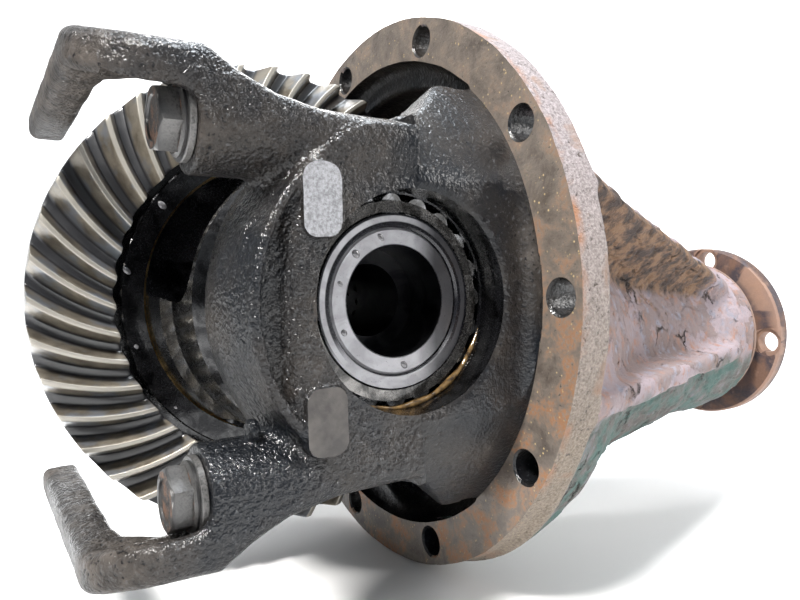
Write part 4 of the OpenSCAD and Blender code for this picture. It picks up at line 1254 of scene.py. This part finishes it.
# ---- companion flange ----
def companion_flange():
    """The drive flange: a hub that flares to a thin round plate with four holes, spot-faced behind."""
    back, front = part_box("companion_flange")[0].x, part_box("companion_flange")[1].x
    rim = front - 9 * MM
    plate_r, hub_r, bore_r, recess_r, edge = 55 * MM, 26 * MM, 16.05 * MM, 24 * MM, 1.2 * MM
    profile = [(bore_r, back), (hub_r, back), (hub_r, rim - 12 * MM), (27.5 * MM, rim - 7 * MM),
               (31 * MM, rim - 3 * MM), (38 * MM, rim - 0.8 * MM), (44 * MM, rim), (plate_r - edge, rim),
               (plate_r, rim + edge), (plate_r, front - edge), (plate_r - edge, front), (recess_r, front),
               (recess_r, front - 18 * MM), (bore_r, front - 18 * MM)]
    piece = turned_piece("drive_flange", [(r, x - back) for r, x in profile], (back, PINION_Y, PINION_Z),
                         (1, 0, 0), 160)
    bolt_r, hole_r, spot_r, first_angle = 47 * MM, 6.2 * MM, 8.6 * MM, 6
    cutters = []
    for i in range(4):
        angle = math.radians(first_angle + 90 * i)
        y, z = PINION_Y + bolt_r * math.cos(angle), PINION_Z + bolt_r * math.sin(angle)
        cutters.append(drum((front + 5 * MM, y, z), (rim - 5 * MM, y, z), hole_r, 0, 40))
        cutters.append(drum((rim - 5 * MM, y, z), (rim + 1.4 * MM, y, z), spot_r, 0, 40))
    carve(piece, cutters)
    bevel(piece, 0.4 * MM, 2, 35)
    shade(piece, 35)
    paint(piece, [FORGED])
    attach(piece, "pinion_shaft")
    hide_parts("companion_flange")


def dust_deflector():
    """A dished ring that closes the gap between the barrel's end and the drive flange's hub."""
    from_x, hub_r, rim_r = BARREL_END + 0.6 * MM, 26.05 * MM, 45.5 * MM
    piece = turned_piece("dished_guard", [
        (hub_r, 0), (rim_r - 1.5 * MM, 0), (rim_r, 0.6 * MM), (rim_r, 2.2 * MM), (rim_r - 1 * MM, 2.6 * MM),
        (hub_r, 1.6 * MM)], (from_x, PINION_Y, PINION_Z), (1, 0, 0), 128)
    shade(piece, 35)
    paint(piece, [GUARD])
    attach(piece, "pinion_shaft")
    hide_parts("dust_deflector")


# ---- oil ----
def drops(name, body, places):
    """Flattened drops of oil. Each place is a point, the way its surface faces, and the drop's radius."""
    points, faces = [], []
    rings, sectors = 4, 14
    height, sunk, bottom = 0.42, 0.15 * MM, 0.3 * MM
    for number, (at, facing, radius) in enumerate(places):
        up, side, other = axes_about(facing)
        start = len(points)
        long = 1.25 + 0.2 * (number % 3)
        for ring in range(rings):
            lift = math.pi / 2 * ring / rings
            for k in range(sectors):
                turn = 2 * math.pi * k / sectors
                points.append(Vector(at) + up * (height * radius * math.sin(lift) - sunk)
                              + side * (radius * math.cos(lift) * math.cos(turn))
                              + other * (radius * long * math.cos(lift) * math.sin(turn)))
        points += [Vector(at) + up * (height * radius - sunk), Vector(at) - up * bottom]
        top_point, bottom_point = len(points) - 2, len(points) - 1
        for k in range(sectors):
            after = (k + 1) % sectors
            for ring in range(rings - 1):
                low, high = start + ring * sectors, start + (ring + 1) * sectors
                faces.append((low + k, low + after, high + after, high + k))
            last = start + (rings - 1) * sectors
            faces.append((last + k, last + after, top_point))
            faces.append((start + after, start + k, bottom_point))
    piece = mesh_piece(name, points, faces)
    mend(piece)
    piece.data.shade_smooth()
    paint(piece, [DROPS])
    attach(piece, body)


def oil():
    face_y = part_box("differential_case")[0].y
    trunnion = [(-68.5, 17.5, 1.5), (-75.2, 7.0, 0.9), (-58.0, 23.6, 1.1), (-74.0, -10.5, 1.2),
                (-49.0, -24.0, 1.3)]
    drops("trunnion_oil_drops", "case", [
        ((x * MM, face_y, z * MM), (0, -1, 0), r * MM) for x, z, r in trunnion])
    ring = []
    for tooth in range(3, RING_TEETH, 3):
        angle = 2 * math.pi * (tooth + 0.5) / RING_TEETH + 0.12
        radius = TOE_R - (6 + 2 * math.sin(3 * tooth)) * MM
        ring.append(((AXLE_X + radius * math.cos(angle), RING_BASE - 14 * MM, radius * math.sin(angle)),
                     (0, -1, 0), (0.7 + 0.3 * (tooth % 4)) * MM))
    drops("ring_oil_drops", "case", ring)
    oil_bead()


def oil_bead():
    """Oil lying in the corner between the near bore's lip and the cup's face."""
    first, last, steps, sectors = math.radians(-112), math.radians(-18), 40, 10
    points, faces = [], []
    for i in range(steps + 1):
        t = i / steps
        angle = first + (last - first) * t
        size = (0.15 + 1.5 * math.sin(math.pi * t) ** 0.6 * (1 + 0.25 * math.sin(23 * t))) * MM
        centre_r, centre_y = LIP_R - 0.35 * size, NEAR_CUP[0].y - 0.35 * size
        for k in range(sectors):
            turn = 2 * math.pi * k / sectors
            radius = centre_r + size * 0.8 * math.cos(turn)
            points.append((AXLE_X + radius * math.cos(angle), centre_y + size * 0.8 * math.sin(turn),
                           radius * math.sin(angle)))
    for i in range(steps):
        for k in range(sectors):
            after = (k + 1) % sectors
            here, there = i * sectors, (i + 1) * sectors
            faces.append((here + k, here + after, there + after, there + k))
    faces += [tuple(range(sectors)), tuple(steps * sectors + k for k in range(sectors))]
    piece = mesh_piece("bore_oil_bead", points, faces)
    mend(piece)
    piece.data.shade_smooth()
    paint(piece, [OIL])
    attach(piece, "carrier")


# ---- studio ----
def backdrop():
    """A pale floor that curves up into a pale wall far behind the object."""
    floor_z = CAD_BOX[0][2] - 0.2 * MM
    reach, bend, height, width = 1.6, 0.8, 2.6, 4.0
    profile = [(-2.4, floor_z), (reach, floor_z)]
    steps = 12
    for i in range(1, steps + 1):
        angle = math.pi / 2 * i / steps
        profile.append((reach + bend * math.sin(angle), floor_z + bend * (1 - math.cos(angle))))
    profile.append((reach + bend, floor_z + height))
    view = Vector((0.538, 0.842, 0)).normalized()
    side = Vector((view.y, -view.x, 0))
    points, faces = [], []
    for distance, z in profile:
        for s in (-width, width):
            points.append(view * distance + side * s + Vector((0, 0, z)))
    for i in range(len(profile) - 1):
        faces.append((2 * i, 2 * i + 1, 2 * i + 3, 2 * i + 2))
    floor = mesh_piece("floor", points, faces)
    floor.data.shade_smooth()
    look = Look("studio_floor", Metallic=0.0, Roughness=0.85)
    tone = look.ramp(look.noise(0.3, 2), 0.3, 0.7)
    look.feed(Base_Color=look.blend(tone, (0.86, 0.86, 0.86), (0.89, 0.89, 0.89)))
    floor.data.materials.append(look.material)


def lamp(name, at, toward, size, power, colour=(1, 1, 1)):
    data = bpy.data.lights.new(name, "AREA")
    data.shape = "RECTANGLE"
    data.size, data.size_y = size
    data.energy = power
    data.color = colour
    light = bpy.data.objects.new(name, data)
    bpy.context.scene.collection.objects.link(light)
    light.location = at
    light.rotation_euler = (Vector(toward) - Vector(at)).to_track_quat("-Z", "Y").to_euler()


def studio():
    """Soft light from a bright overcast top, with dim surroundings that keep the oily black parts dark."""
    world = bpy.data.worlds.new("studio")
    bpy.context.scene.world = world
    world.use_nodes = True
    nodes, links = world.node_tree.nodes, world.node_tree.links
    background = nodes["Background"]
    split = nodes.new("ShaderNodeSeparateXYZ")
    links.new(nodes.new("ShaderNodeTexCoord").outputs["Generated"], split.inputs["Vector"])
    shade_range = nodes.new("ShaderNodeMapRange")
    for socket, value in (("From Min", 0.0), ("From Max", 0.80), ("To Min", 0.03), ("To Max", 0.75)):
        shade_range.inputs[socket].default_value = value
    links.new(split.outputs["Z"], shade_range.inputs["Value"])
    background.inputs["Color"].default_value = (0.90, 0.95, 1.0, 1)
    links.new(shade_range.outputs["Result"], background.inputs["Strength"])
    target = (0, 0, 0)
    lamp("key", (-0.70, -0.45, 1.00), target, (0.20, 0.20), 34, (1.0, 0.98, 0.95))
    lamp("sky", (0.15, -0.10, 1.25), target, (0.6, 0.4), 17, (0.88, 0.94, 1.0))
    lamp("side", (0.95, -0.75, 0.45), target, (0.4, 0.6), 8, (1.0, 0.98, 0.96))
    lamp("backdrop", (0.9, 1.2, 1.5), (1.3, 2.1, 0.2), (1.8, 1.0), 75, (1.0, 1.0, 1.0))


def camera():
    data = bpy.data.cameras.new("camera")
    data.lens = 31.056
    data.sensor_width = 36
    data.clip_start = 0.01
    eye = bpy.data.objects.new("camera", data)
    bpy.context.scene.collection.objects.link(eye)
    right = Vector((0.84234, -0.53856, -0.02071))
    up = Vector((0.03688, 0.01925, 0.99913))
    back = Vector((-0.53769, -0.84237, 0.03607))
    place = (-0.18866, -0.31032, 0.00963)
    eye.matrix_world = Matrix.Translation(place) @ Matrix((right, up, back)).transposed().to_4x4()
    bpy.context.scene.camera = eye


near_cap()
far_cap()
cap_bolts()
carrier()
ring_gear()
companion_flange()
dust_deflector()
oil()
for name in ("near_bearing_cup", "near_bearing_cone", "near_bearing_cage", "near_bearing_rollers"):
    NODES[name].data.shade_smooth()
backdrop()
studio()
camera()
bpy.context.scene.view_settings.view_transform = "Standard"
